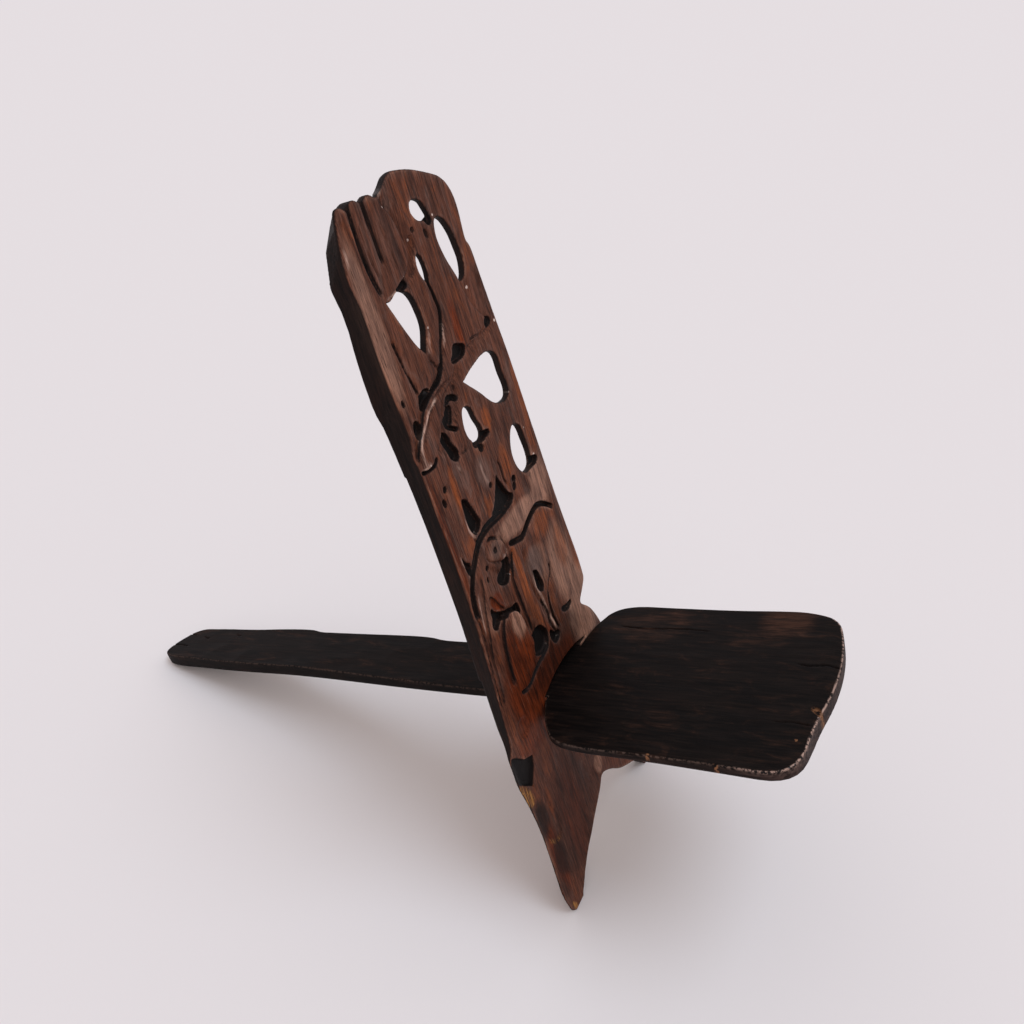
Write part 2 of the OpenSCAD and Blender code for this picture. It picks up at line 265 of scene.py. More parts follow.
def blurred(values, width):
    """A map softened over so many millimetres."""
    u = np.fft.fftfreq(values.shape[0], STEP)[:, None]
    v = np.fft.rfftfreq(values.shape[1], STEP)[None, :]
    keep = np.exp(-2 * (math.pi * width) ** 2 * (u * u + v * v))
    return np.fft.irfft2(np.fft.rfft2(values) * keep, values.shape)


back_sheet = Sheet((-174, -16), (168, 926))
print("back sheet:", back_sheet.across.shape, "squares of", STEP, "mm")

# %% [markdown]
# ## The back plank's outline and openings
#
# The outline goes round from the left foot over the arch, up the right side past
# the waist notch to the crown, and down the left side. The openings' heights are
# measured down from the crown, as they are in the solids.

# %% Outline and openings of the back plank
BACK_OUTLINE = [
    # Left foot, arch and right foot
    (-158, 40, 24), (-148, 8, 8), (-137, -2, 6), (-137, -12, 0), (-119, -12, 0), (-118, 3, 6),
    (-89, 32, 24), (-57, 52.4, 30), (-5, 83.4, 18), (8, 98, 12), (35, 81.5, 22),
    (60, 56.3, 24), (106, 32, 22), (131, 0, 6), (131, -12, 0), (155, -12, 0), (158, 61, 40),
    # Right side over the waist notch
    (144, 154, 90), (120, 277, 36), (104, 311, 12), (80, 335, 8), (109, 357, 6),
    (109, 391, 40), (99, 480, 80), (92, 588, 90), (88, 664, 90), (81, 733, 90), (73, 820, 8),
    # Crown
    (67, 827, 6), (73, 872, 20), (60, 896, 16), (10, 913, 40), (-20, 917, 20),
    (-33, 917, 12), (-49, 905, 10),
    # Two finger ribs and the left rail
    (-63, 899, 2), (-74, 906, 24), (-85, 899, 2), (-87, 899, 2), (-98, 906, 24),
    (-109, 898, 2), (-111, 897, 2), (-119, 903, 10), (-127, 901, 6), (-134, 878, 14),
    # Left edge down to the foot
    (-140, 854, 24), (-143, 808, 60), (-144, 738, 60), (-137, 678, 60), (-134, 538, 90),
    (-137, 434, 90), (-146, 342, 60), (-152, 290, 10), (-164, 276, 6), (-165, 242, 10),
    (-157, 198, 40), (-153, 144, 60),
]
OPENINGS = {
    "eyelet": [(-15, -42), (-11, -33), (8, -36), (13, -45), (16, -52, 1), (4, -55),
               (-7, -53), (-13, -47)],
    "crescent": [(16, -70), (23, -57), (36, -59), (47, -75), (51, -94), (52, -108),
                 (43, -127), (37, -128), (25, -110), (16, -83)],
    "sliver": [(-27, -81), (-22, -84), (-19, -92), (-19, -105), (-23, -116, 1), (-32, -103),
               (-33, -91)],
    "teardrop": [(-100, -109, 1), (-90, -111), (-75, -106), (-59, -112), (-51, -138), (-52, -151),
                 (-59, -165), (-65, -175, 1), (-75, -163), (-89, -135)],
    "triangle": [(-19, -224, 1), (6, -216), (42, -211), (59, -219), (62, -242), (62, -271),
                 (49, -275), (27, -268), (5, -246)],
    "leaf": [(-34, -248), (-21, -253), (-16, -269), (-11, -286), (-15, -292), (-30, -291),
             (-41, -281), (-42, -261)],
    "drop": [(49, -306), (63, -312), (68, -333), (70, -354), (66, -366), (48, -369),
             (34, -355), (31, -334), (38, -316)],
}
# How thick the wood is left at the rim of an opening that is thinned from behind
THIN_RIMS = {"eyelet": 8.2, "leaf": 8.8, "sliver": 7.5}
SLOT_LOW, SLOT_TOP = SLOT_HEIGHT - SLOT_PLAY, SLOT_HEIGHT + SEAT_THICK + SLOT_PLAY
SLOT = [(TAIL_LEFT - SLOT_PLAY, SLOT_LOW), (TAIL_RIGHT + SLOT_PLAY, SLOT_LOW),
        (TAIL_RIGHT + SLOT_PLAY, SLOT_TOP), (TAIL_LEFT - SLOT_PLAY, SLOT_TOP)]

# Far enough to reach the middle of a plank from its edge
PLANK_REACH = 200
plank_edge = back_sheet.inside(soft(BACK_OUTLINE), PLANK_REACH)
hole_edges = {}
for name, points in OPENINGS.items():
    lifted = [(px, py + BACK_LEN, *sharp) for px, py, *sharp in points]
    hole_edges[name] = back_sheet.inside(ring(lifted))
hole_edge = np.minimum.reduce(list(hole_edges.values()))
slot_edge = back_sheet.inside(np.array(SLOT, float))
print("openings:", len(OPENINGS), "and the slot")

# %% [markdown]
# ## Relief
#
# The front is carved a few millimetres deep, and four kinds of cut make all of it.
# A bank sinks the ground on one side of a line and lets it rise again slowly, so
# that one form seems to lie over the next. A hollow is a sunk area with soft walls.
# A pit has steep walls and a flat floor, and a groove is a furrow along a line.
# Banks and hollows are made first, like a carver's roughing out. Pits and grooves
# are then cut into that ground, and the depth of both is added up.

# %% The four cuts
def area(sheet, points, wall):
    """1 inside a closed line, 0 outside it, with a wall of the given width."""
    return ease((0.5 - sheet.inside(ring(points))) / wall)


def along(run, length, fade):
    """1 along a line, fading out at both its ends."""
    return ease((run + 1) / fade) * ease((length - run + 1) / fade)


def groove(sheet, points, half, depth, fade=10):
    """A furrow along a line: flat in the middle half, with steep sides."""
    far, _, run, length = sheet.near_line(sweep(points), False)
    return depth * along(run, length, fade) * (1 - ease((far - 0.5 * half) / (0.6 * half)))


def bank(sheet, points, side, depth, rise, fade=12):
    """Sinks the ground on the left (1) or right (-1) of a line; it rises again over a way."""
    far, at, run, length = sheet.near_line(sweep(points), False, margin=rise + 2)
    lip = ease((far * at * side + 0.8) / 1.8)
    return depth * along(run, length, fade) * lip * np.clip(1 - far / rise, 0, 1) ** 1.4


trial = area(back_sheet, [(0, 500), (40, 540), (0, 580), (-40, 540)], 5)
print("a trial hollow covers, square mm:", round(trial.sum() * STEP ** 2))

# %% Banks of the front
# Each bank is (side, depth, rise, line)
BANKS = [
    # Right side of the finger ribs and round their lower end
    (1, 4.2, 15, [(-60, 902), (-57, 891), (-49, 879), (-44, 862), (-41, 845), (-46, 832),
                  (-57, 823), (-72, 817), (-90, 811), (-101, 809)]),
    # Left strap: the long S from the crown down to its tip, over the ground on its left
    (-1, 1.3, 16, [(-21, 800), (-19, 786), (-19, 772), (-25, 757), (-35, 736), (-43, 727),
                   (-50, 719)]),
    (-1, 4.4, 16, [(-43, 727), (-50, 719), (-58, 710), (-73, 706), (-87, 700), (-99, 693),
                   (-109, 682), (-119, 671), (-129, 659), (-134, 648)]),
    # Right side of the strap's lower arm
    (1, 3.2, 13, [(-20, 722), (-34, 706), (-51, 700), (-65, 693), (-74, 680), (-83, 665),
                  (-92, 655), (-104, 646)]),
    # The middle strap stands over the strip on its right
    (1, 3.4, 22, [(30, 800), (35, 779), (44, 760), (55, 747), (66, 735)]),
    (1, 3.0, 12, [(70, 734), (60, 731), (39, 727), (13, 726), (2, 722)]),
    # Ground under the lower rim of the strap's crossing
    (-1, 2.6, 12, [(-44, 631), (-49, 627), (-60, 627), (-70, 629)]),
    # Long band over the wavy groove, and the right wing under it
    (1, 2.8, 15, [(-34, 494), (-13, 488), (5, 487), (18, 491), (33, 497), (46, 501),
                  (59, 497), (75, 487), (86, 478)]),
    (-1, 2.4, 14, [(12, 545), (-10, 535), (-37, 537), (-59, 537), (-74, 533), (-86, 528),
                   (-98, 518), (-107, 508), (-118, 494), (-126, 478), (-129, 452)]),
    # Round boss, cut round its lower right
    (1, 2.8, 9, [(-53, 519), (-42, 509), (-38, 499), (-40, 490), (-48, 486), (-60, 487)]),
    # Ridge from the wavy groove down to the slot, with sunk ground on both sides
    (1, 4.0, 18, [(-11, 478), (-13, 460), (-15, 441), (-14, 421), (-8, 396), (-4, 371), (0, 351)]),
    (-1, 4.6, 16, [(-27, 489), (-34, 475), (-41, 458), (-42, 438), (-41, 416), (-38, 390),
                   (-37, 368)]),
    # Left side of the lower rails
    (-1, 3.0, 14, [(-98, 500), (-103, 478), (-112, 455), (-118, 430), (-126, 403), (-130, 370),
                   (-136, 336)]),
    # Rounded end and sides of the tongue
    (1, 5.2, 14, [(-104, 344), (-100, 385), (-90, 416), (-80, 427), (-69, 426), (-56, 417),
                  (-50, 405), (-46, 385), (-44, 366), (-48, 352), (-56, 338)]),
    # The right slit's long bank down to the slot
    (1, 2.6, 12, [(38, 428), (33, 413), (24, 404), (18, 390), (17, 370), (21, 348), (24, 334)]),
    # Sunk wedge of the left rail beside the teardrop
    (1, 2.2, 10, [(-110, 772), (-107, 753), (-103, 738), (-102, 725), (-99, 711)]),
]

ground = np.zeros(plank_edge.shape)
for side, depth, rise, line in BANKS:
    ground = np.maximum(ground, bank(back_sheet, line, side, depth, rise))
print("banks:", len(BANKS), "sinking the ground by up to, mm:", round(ground.max(), 1))

# %% Hollows of the front
# Each hollow is (depth, width of its wall, closed line)
HOLLOWS = [
    # Band between the ribs and the sliver
    (3.2, 5, [(-32, 858), (-26, 856), (-25, 847), (-29, 839), (-36, 827), (-39, 821), (-46, 816),
              (-56, 813), (-58, 818), (-52, 824), (-46, 832), (-40, 844)]),
    # Grey sunk ground beside the strap's crossing, with the hatched cuts in it
    (2.6, 7, [(-30, 690), (-36, 702), (-60, 694), (-72, 678), (-78, 664), (-66, 656), (-50, 662),
              (-38, 676)]),
    # Field between the boss and the ridge
    (2.2, 9, [(-84, 498), (-62, 484), (-44, 480), (-38, 440), (-46, 424), (-74, 432), (-90, 462)]),
    # Right wing's grey hollow
    (2.0, 14, [(0, 470), (24, 478), (34, 440), (26, 412), (12, 396), (2, 420)]),
    # Ground of the right strip under the crescent
    (1.6, 10, [(46, 784), (70, 800), (74, 770), (66, 744), (52, 752)]),
    # Long sunk stain on the middle strap
    (1.2, 8, [(0, 770), (8, 752), (6, 730), (-8, 724), (-14, 736), (-8, 758)]),
    # Red brown floor above the pit left of the tongue, the pool over the foot's pocket,
    # and the shallow dish round the foot's oval
    (3.4, 3, [(-99, 466), (-90, 459), (-83, 446), (-71, 431), (-63, 425), (-75, 429), (-97, 447),
              (-101, 457)]),
    (3.0, 8, [(-134, 300), (-114, 307), (-105, 294), (-115, 278), (-129, 281)]),
    (1.6, 8, [(-149, 198), (-121, 178), (-109, 143), (-113, 120), (-126, 111), (-143, 124),
              (-151, 160)]),
    # Foot: the cut-back ground above the arch
    (1.8, 18, [(-40, 150), (-10, 170), (20, 150), (12, 112), (-8, 104), (-34, 118)]),
]

for depth, wall, points in HOLLOWS:
    ground = np.maximum(ground, depth * area(back_sheet, points, wall))
print("hollows:", len(HOLLOWS), "and the ground is now sunk by up to, mm:", round(ground.max(), 1))

# %% Pits of the front
PIT_WALL = 1.9
# Each pit is (depth, closed line)
PITS = [
    # Between the crown's openings
    (6.0, [(3, 864), (9, 870), (15, 866), (16, 860), (9, 857)]),
    (3.0, [(-24, 862), (-18, 861), (-20, 857), (-25, 858)]),
    (2.6, [(-3, 856), (1, 854), (2, 846), (-2, 846)]),
    (5.0, [(-70, 818), (-60, 820), (-56, 815), (-62, 811), (-74, 812)]),
    # Beside the teardrop and on the straps
    (5.5, [(-99, 711), (-76, 707), (-84, 702), (-101, 696)]),
    (5.0, [(-122, 691), (-109, 685), (-111, 679), (-119, 672)]),
    (3.5, [(-128, 718), (-125, 716), (-125, 710), (-129, 711)]),
    (6.5, [(-16, 735), (-4, 733), (6, 727), (1, 720), (-13, 717), (-28, 720), (-22, 727)]),
    (4.0, [(60, 741), (70, 737), (64, 730), (55, 732)]),
    (5.5, [(-57, 691), (-47, 691), (-36, 685), (-39, 681), (-49, 685), (-60, 682)]),
    (5.5, [(-52, 681), (-70, 675), (-74, 671), (-63, 662), (-54, 670)]),
    (5.5, [(-74, 670), (-61, 661), (-54, 654), (-64, 656)]),
    (4.0, [(-30, 620), (-22, 622), (-20, 616), (-27, 613)]),
    (7.2, [(-84, 662), (-77, 659), (-73, 646), (-66, 631), (-72, 625), (-82, 631), (-86, 642),
           (-88, 653)]),
    (5.0, [(-136, 642), (-121, 637), (-108, 638), (-104, 645), (-113, 641), (-124, 640)]),
    # Pointed tails of the leaf and of the drop
    (6.5, [(-38, 628), (-22, 636), (-14, 633), (1, 627), (-8, 624), (-22, 622), (-35, 622)]),
    (6.5, [(44, 556), (58, 568), (68, 562), (82, 555), (78, 549), (60, 549), (48, 550)]),
    # Above the wavy groove
    (7.5, [(-89, 585), (-81, 581), (-76, 571), (-72, 559), (-69, 548), (-75, 540), (-83, 539),
           (-91, 549), (-92, 564), (-91, 577)]),
    (7.5, [(-14, 578, 1), (-8, 563), (0, 548), (8, 540), (-2, 534), (-24, 536), (-42, 538),
           (-31, 554), (-22, 566)]),
    (4.5, [(-111, 613), (-106, 611), (-109, 606), (-113, 607)]),
    (4.5, [(-120, 602), (-115, 600), (-116, 592), (-120, 594)]),
    (4.5, [(-33, 574), (-28, 576), (-27, 571), (-32, 570)]),
    (5.0, [(16, 560), (23, 558), (21, 552), (14, 554)]),
    (4.5, [(14, 552), (20, 551), (15, 543), (11, 545)]),
    # Round the boss
    (7.5, [(-51, 486), (-38, 481), (-38, 471), (-48, 459), (-56, 456), (-72, 470), (-62, 478)]),
    (3.0, [(-64, 507), (-58, 508), (-57, 502), (-62, 501)]),
    (4.0, [(-87, 499), (-82, 497), (-84, 492), (-88, 494)]),
    (4.0, [(-91, 487), (-87, 485), (-89, 479), (-92, 481)]),
    # Right wing
    (6.5, [(-1, 439, 1), (9, 433), (13, 421), (14, 408), (6, 404), (0, 410), (-2, 424)]),
    (5.0, [(34, 358), (47, 356), (62, 352), (50, 347), (36, 352)]),
    # Beside the tongue and above the slot
    (7.5, [(-103, 452), (-98, 446), (-85, 437), (-73, 426), (-92, 427), (-103, 424), (-110, 431),
           (-106, 442)]),
    (5.0, [(-75, 430), (-62, 427), (-54, 428), (-47, 414), (-50, 409), (-58, 420)]),
    (6.5, [(-32, 376), (-13, 361), (-14, 346), (-27, 338), (-48, 346), (-46, 360)]),
    (6.0, [(-6, 352), (3, 344), (15, 337), (2, 328), (-8, 340)]),
    (6.0, [(-122, 536, 1), (-118, 525), (-110, 517), (-113, 506), (-119, 509), (-121, 520)]),
]

detail = np.zeros(plank_edge.shape)
for depth, points in PITS:
    detail = np.maximum(detail, depth * area(back_sheet, points, PIT_WALL))
print("pits:", len(PITS), "the deepest, mm:", round(detail.max(), 1))

# %% Grooves of the front
# Each groove is (half width, depth, line)
GROOVES = [
    # Between the rail and the ribs
    (3.2, 3.6, [(-107, 906), (-109, 883), (-110, 862), (-109, 842), (-106, 828), (-101, 812)]),
    (2.8, 3.4, [(-86, 906), (-86, 884), (-85, 868), (-85, 852), (-83, 838)]),
    (2.0, 1.4, [(-100, 886), (-101, 868), (-100, 846), (-94, 826)]),
    (2.0, 1.2, [(-72, 880), (-68, 860), (-66, 842), (-68, 828)]),
    # The long S line on the left strap, and the arm's second line
    (2.4, 3.6, [(-25, 808), (-20, 788), (-20, 772), (-27, 758), (-36, 743), (-43, 731),
                (-52, 717), (-66, 710), (-79, 705)]),
    (1.8, 1.8, [(-32, 707), (-50, 706), (-65, 703), (-79, 697), (-92, 687), (-105, 675),
                (-118, 663)]),
    (2.6, 3.8, [(-112, 776), (-108, 752), (-105, 737), (-102, 724), (-99, 709)]),
    (1.8, 2.0, [(-65, 741), (-59, 731), (-50, 720)]),
    (1.8, 2.2, [(12, 727), (24, 730), (39, 728), (52, 733)]),
    (1.6, 1.6, [(-77, 626), (-75, 614), (-72, 604)]),
    (1.6, 1.6, [(-41, 704), (-37, 697), (-37, 688)]),
    # The two thick grooves that cross the waist
    (5.0, 5.8, [(6, 539), (-9, 536), (-27, 534), (-45, 535), (-61, 535), (-74, 532)]),
    (4.2, 5.6, [(-55, 535), (-74, 532), (-86, 527), (-93, 522), (-103, 513), (-111, 506),
                (-117, 498), (-122, 491), (-126, 478), (-128, 466), (-128, 452)]),
    (3.6, 5.2, [(-32, 495), (-15, 490), (1, 487), (15, 493), (25, 497), (38, 501), (52, 502),
                (69, 494), (86, 480)]),
    # The round boss: a dark arc over it and a fine line round it
    (2.0, 3.4, [(-73, 520), (-64, 522), (-54, 517), (-44, 511)]),
    (1.5, 1.8, [(-54, 517), (-44, 510), (-38, 499), (-40, 490), (-48, 485), (-56, 487), (-65, 491),
                (-75, 498), (-80, 505), (-79, 513), (-72, 521)]),
    (1.5, 1.6, [(-92, 547), (-86, 532), (-76, 538)]),
    (2.0, 2.6, [(-3, 594), (-1, 580), (-1, 566), (4, 554)]),
    # Right wing's slit and the lines down to the slot
    (2.2, 3.8, [(37, 428), (35, 415), (24, 405), (16, 394), (12, 379), (13, 358), (18, 337)]),
    (1.8, 2.6, [(-3, 400), (1, 385), (4, 370), (3, 352), (10, 338)]),
    (3.0, 4.0, [(-13, 352), (-21, 339), (-42, 335), (-58, 333), (-70, 328), (-85, 325),
                (-102, 330)]),
    (2.0, 2.4, [(-130, 470), (-130, 440), (-134, 404), (-138, 370), (-142, 338)]),
    (1.6, 1.5, [(-74, 414), (-78, 390), (-80, 362), (-80, 338)]),
    (1.6, 1.3, [(-64, 420), (-62, 396), (-62, 366), (-66, 340)]),
]

for half, depth, line in GROOVES:
    detail = np.maximum(detail, groove(back_sheet, line, half, depth))
print("grooves:", len(GROOVES))

# %% [markdown]
# ## Marks on the left foot
#
# A square pocket is burnt into the left arris of the foot, and a shallow oval is
# rubbed out below it. The pocket has straight sides, so its corners are all sharp
# ones, while the oval is one smooth ring. The blade has left soft waves everywhere
# but in the pocket.

# %% The foot's pocket and oval, and the marks of the blade
POCKET = [(-159, 280), (-152, 275), (-137, 259), (-120, 251), (-125, 237), (-139, 219),
          (-163, 242), (-167, 256), (-166, 269)]
OVAL = [(-150, 190), (-136, 182), (-131, 160), (-133, 134), (-146, 128), (-152, 157)]
POCKET_DEPTH, OVAL_DEPTH = 4.2, 1.2
pocket = area(back_sheet, [(x, y, 1) for x, y in POCKET], 1.6)
oval = area(back_sheet, OVAL, 9)
detail = np.maximum(detail, np.maximum(POCKET_DEPTH * pocket, OVAL_DEPTH * oval))
tool = 0.34 * ripples(back_sheet, 5, 13, 70) + 0.18 * ripples(back_sheet, 6, 4, 34)
print("deepest cut, mm:", round((ground + detail).max(), 1))

# %% [markdown]
# ## From fields to a mesh
#
# A plank is the space where all its fields are below nothing: inside the outline,
# outside the holes, under the front and over the rear. The fields are stacked into
# a block of small cells, and each cell that the surface crosses gets one point, at
# the middle of its crossings. Joining those points gives an even closed mesh with
# soft edges everywhere, which suits old wood. Flat stretches need few faces, so
# the mesh is then thinned.

# %% A closed mesh round a field
def surface_net(field, low, steps):
    """Points and four-sided faces where the field passes through nothing."""
    inside = field < 0
    n = np.array(field.shape) - 1
    count = sum(inside[i:i + n[0], j:j + n[1], k:k + n[2]].astype(np.int8)
                for i, j, k in product((0, 1), repeat=3))
    cells = np.argwhere((count > 0) & (count < 8))
    number = np.full(n, -1, np.int64)
    number[tuple(cells.T)] = np.arange(len(cells))
    total, hits = np.zeros((len(cells), 3)), np.zeros(len(cells))
    unit = np.eye(3, dtype=int)
    for axis, a, b in product(range(3), (0, 1), (0, 1)):
        start = cells + a * unit[(axis + 1) % 3] + b * unit[(axis + 2) % 3]
        f0 = field[tuple(start.T)].astype(float)
        f1 = field[tuple((start + unit[axis]).T)].astype(float)
        crossed = (f0 < 0) != (f1 < 0)
        t = f0[crossed] / (f0[crossed] - f1[crossed])
        total[crossed] += start[crossed] + t[:, None] * unit[axis]
        hits[crossed] += 1
    points = np.array(low) + total / hits[:, None] * np.array(steps)
    faces = []
    for axis in range(3):
        u, v = unit[(axis + 1) % 3], unit[(axis + 2) % 3]
        here = inside[tuple(slice(0, -1) if i == axis else slice(1, -1) for i in range(3))]
        there = inside[tuple(slice(1, None) if i == axis else slice(1, -1) for i in range(3))]
        for change, turned in (((here & ~there), False), ((~here & there), True)):
            e = np.argwhere(change) + u + v
            corners = [number[tuple((e - s).T)] for s in (0 * u, u, u + v, v)]
            quads = np.stack(corners, axis=1)
            faces.append(quads[:, ::-1] if turned else quads)
    return points, np.concatenate(faces)


CUBE = np.pad(np.full((3, 3, 3), -1.0), 1, constant_values=1.0)
print("points round a trial cube:", len(surface_net(CUBE, (0, 0, 0), (1, 1, 1))[0]))


# %% A mesh in Blender
def to_mesh(name, points, faces):
    """A mesh of four-sided faces."""
    mesh = bpy.data.meshes.new(name)
    mesh.vertices.add(len(points))
    mesh.vertices.foreach_set("co", points.astype(np.float32).ravel())
    mesh.loops.add(faces.size)
    mesh.loops.foreach_set("vertex_index", faces.astype(np.int32).ravel())
    mesh.polygons.add(len(faces))
    mesh.polygons.foreach_set("loop_start", np.arange(0, faces.size, 4, dtype=np.int32))
    mesh.update(calc_edges=True)
    mesh.validate()
    return mesh


trial = to_mesh("trial", *surface_net(CUBE, (0, 0, 0), (1, 1, 1)))
print("faces round a trial cube:", len(trial.polygons))
bpy.data.meshes.remove(trial)


# %% Thinning a mesh, and keeping numbers on it
def thinned(mesh, most):
    """The mesh with at most so many triangles."""
    triangles = sum(len(p.vertices) - 2 for p in mesh.polygons)
    rough = bpy.data.objects.new("rough", mesh)
    bpy.context.scene.collection.objects.link(rough)
    less = rough.modifiers.new("fewer", "DECIMATE")
    less.ratio = min(1.0, most / triangles)
    ready = rough.evaluated_get(bpy.context.evaluated_depsgraph_get())
    made = bpy.data.meshes.new_from_object(ready)
    bpy.data.objects.remove(rough)
    made.name = mesh.name
    return made


def places(mesh):
    """Where each point of a mesh is."""
    p = np.zeros(len(mesh.vertices) * 3, np.float32)
    mesh.vertices.foreach_get("co", p)
    return p.reshape(-1, 3).astype(float)


def facing(mesh):
    """How much each point of a drawn plank faces out of its front: 1 full on, -1 away."""
    n = np.zeros(len(mesh.vertices) * 3, np.float32)
    mesh.vertices.foreach_get("normal", n)
    return n.reshape(-1, 3)[:, 2].astype(float)


def paint_map(mesh, name, values):
    """Keeps one number for each point of the mesh, for a material to read."""
    layer = mesh.attributes.new(name, "FLOAT", "POINT")
    layer.data.foreach_set("value", values.astype(np.float32))


def keep_drawing(mesh, points):
    """Keeps each point's place on the plank's drawing, in metres, for the grain."""
    layer = mesh.attributes.new("drawing", "FLOAT_VECTOR", "POINT")
    layer.data.foreach_set("vector", (MM * points).astype(np.float32).ravel())


trial = to_mesh("trial", *surface_net(CUBE, (0, 0, 0), (1, 1, 1)))
print("points of it that face up:", int((facing(trial) > 0.5).sum()), "of", len(places(trial)))
bpy.data.meshes.remove(trial)

# %% [markdown]
# ## Carving the back plank
#
# The rear is plain. Behind the panel the wood is cut back to half, and long bevels
# thin the crown, the rounded corner and the feet from behind, so that the edges look
# light from the front. A few openings are thinned behind their rims too.
# The walls of the slot stay square, because the seat plank slides there, but the
# wood over it is hollowed in a low arch.

# %% The back plank's rear
# The least wood that is left between any cut and the rear
LEAST_WOOD = 2.4
EDGE_WOOD = 5
# The panel's lower edge, its left edge, the run of its side wall and its depth
PANEL_Y, PANEL_X, PANEL_WALL, PANEL_DEPTH = 525, -116, 3, 12
# Each bevel is (a place on the edge, the way the edge faces, run, length)
EDGE_BEVELS = [
    ((0, 921), 90, 22.1, 400), ((-62, 918), 180, 24.65, 44),
    ((-126, 892), 138, 10, 68), ((-139.5, 863), 160, 3.33, 68),
]
# The foot bevel starts this far from the middle, turns in below the slot and runs on
FOOT_OUT, FOOT_IN, FOOT_TURN = 174, 157, math.radians(7.8)
FOOT_HIGH, FOOT_LOW, FOOT_TOP, FOOT_RUN = 314, 190, 640, 40
# Above the seat the bevel keeps off the edge by at least this
FOOT_SHY, SHY_FROM = 37, 380

x, y = back_sheet.across, back_sheet.along


def edge_bevel(at, turn_degrees, run, length):
    """Bevel behind an edge that faces turn_degrees, with EDGE_WOOD left at the edge itself."""
    turn = math.radians(turn_degrees)
    out = (x - at[0]) * math.cos(turn) + (y - at[1]) * math.sin(turn)
    side = (y - at[1]) * math.cos(turn) - (x - at[0]) * math.sin(turn)
    surface = np.minimum(-EDGE_WOOD + out * (BACK_THICK - EDGE_WOOD) / run, -EDGE_WOOD)
    return np.where((np.abs(side) < length / 2) & (out < 10), surface, -30)


rear = np.full(x.shape, -float(BACK_THICK))
panel = -BACK_THICK + np.clip((x - PANEL_X) / PANEL_WALL, 0, PANEL_DEPTH)
rear = np.where(y > PANEL_Y, np.maximum(rear, panel), rear)
for bevel in EDGE_BEVELS:
    rear = np.maximum(rear, edge_bevel(*bevel))
foot_line = np.where(y > FOOT_LOW, FOOT_OUT - (FOOT_HIGH - y) * math.tan(FOOT_TURN), FOOT_IN)
foot_line = np.where(y > FOOT_HIGH, FOOT_OUT, foot_line)
for side in (-1, 1):
    inward = foot_line - side * x
    inward = np.where(y > SHY_FROM, np.maximum(inward, FOOT_SHY), inward)
    bevel = np.minimum(-inward * BACK_THICK / FOOT_RUN, 0)
    rear = np.where(y < FOOT_TOP, np.maximum(rear, bevel), rear)
for name, thick in THIN_RIMS.items():
    rear = np.maximum(rear, -thick - 0.55 * np.maximum(hole_edges[name], 0))
rear = np.minimum(rear + 0.25 * ripples(back_sheet, 8, 22, 60), -LEAST_WOOD)
print("wood behind the front, mm: from", round(-rear.max(), 1), "to", round(-rear.min(), 1))

# %% The back plank's sides
# The carved front stays this far under the solid's face, and nowhere comes nearer than that
FRONT_SKIN, LEAST_SKIN = 0.5, 0.1
# Empty cells behind the rear and before the front, so that the mesh closes
REAR_ROOM, FRONT_ROOM = 2.7, 2.6
# The edges are rounded off, so the outline is drawn this much fuller to keep its size
ROUNDING_ROOM = 0.7
# The left rail's side leans out toward the rear by up to this
RAIL_LEAN = 6.5
# It also swells there, by so many millimetres at each height
RAIL_SWELL = [(380, 0), (440, 1.5), (560, 2), (640, 3.2), (698, 4.5), (711, 6.5), (722, 6.5),
              (752, 3.8), (777, 1.5), (797, -0.8), (815, -0.5), (838, 4), (872, 4), (896, 0)]

front = np.maximum(-FRONT_SKIN - ground - detail + tool * (1 - pocket), rear + LEAST_WOOD)
front = np.minimum(front, -LEAST_SKIN)
z = np.arange(-BACK_THICK - REAR_ROOM, FRONT_ROOM + STEP, STEP)[None, None, :]
on_rail = x < -60
lean_out = RAIL_LEAN * ease((y - 646) / 60) * ease((846 - y) / 40) * on_rail
swell = np.interp(y, *zip(*RAIL_SWELL)) * on_rail
deep = -z / BACK_THICK
outside = ((plank_edge - ROUNDING_ROOM)[:, :, None] + lean_out[:, :, None] * (1 - deep)
           - swell[:, :, None] * deep)
walls = np.maximum(outside, (-ROUNDING_ROOM - hole_edge)[:, :, None])
print("the rail swells by up to, mm:", round(swell.max(), 1))

# %% The back plank's mesh
FRONT_ROUNDING, REAR_ROUNDING, MOUTH_ROUNDING = 2.0, 2.4, 1.6
# The arched hollow over the slot: half its width, its height at the front, and its middle
MOUTH_HALF, MOUTH_RISE, MOUTH_X, MOUTH_Y = 69, 13, 5, 288
# Its roof slopes, and this turns the height above the roof into the distance from it
ROOF_SHARE = 0.86
# At most this many triangles are kept of the back plank. The export takes 200,000
# triangles of one piece
BACK_TRIANGLES = 196000

slope = np.sqrt(1 + sum(g * g for g in np.gradient(front, STEP)))
over_front = (z - front[:, :, None]) / slope[:, :, None]
field = both(over_front, walls, FRONT_ROUNDING)
field = both(field, rear[:, :, None] - z, REAR_ROUNDING)
field = np.maximum(field, -slot_edge[:, :, None])
radius = (MOUTH_HALF ** 2 + MOUTH_RISE ** 2) / 2 / MOUTH_RISE
arc = np.sqrt(np.maximum(radius ** 2 - (x - MOUTH_X) ** 2, 1)) - radius + MOUTH_RISE
mouth = ((arc - (y - MOUTH_Y))[:, :, None] + z * MOUTH_RISE / BACK_THICK) * ROOF_SHARE
mouth = np.minimum(mouth, (y - MOUTH_Y)[:, :, None])
field = both(field, mouth, MOUTH_ROUNDING)
floor_cut = -(y[:, :, None] * math.cos(LEAN) + z * math.sin(LEAN))
field = np.maximum(field, floor_cut).astype(np.float32)
low = (back_sheet.x[0], back_sheet.y[0], z[0, 0, 0])
points, faces = surface_net(field, low, (STEP,) * 3)
back_mesh = thinned(to_mesh("carved_back", points, faces), BACK_TRIANGLES)
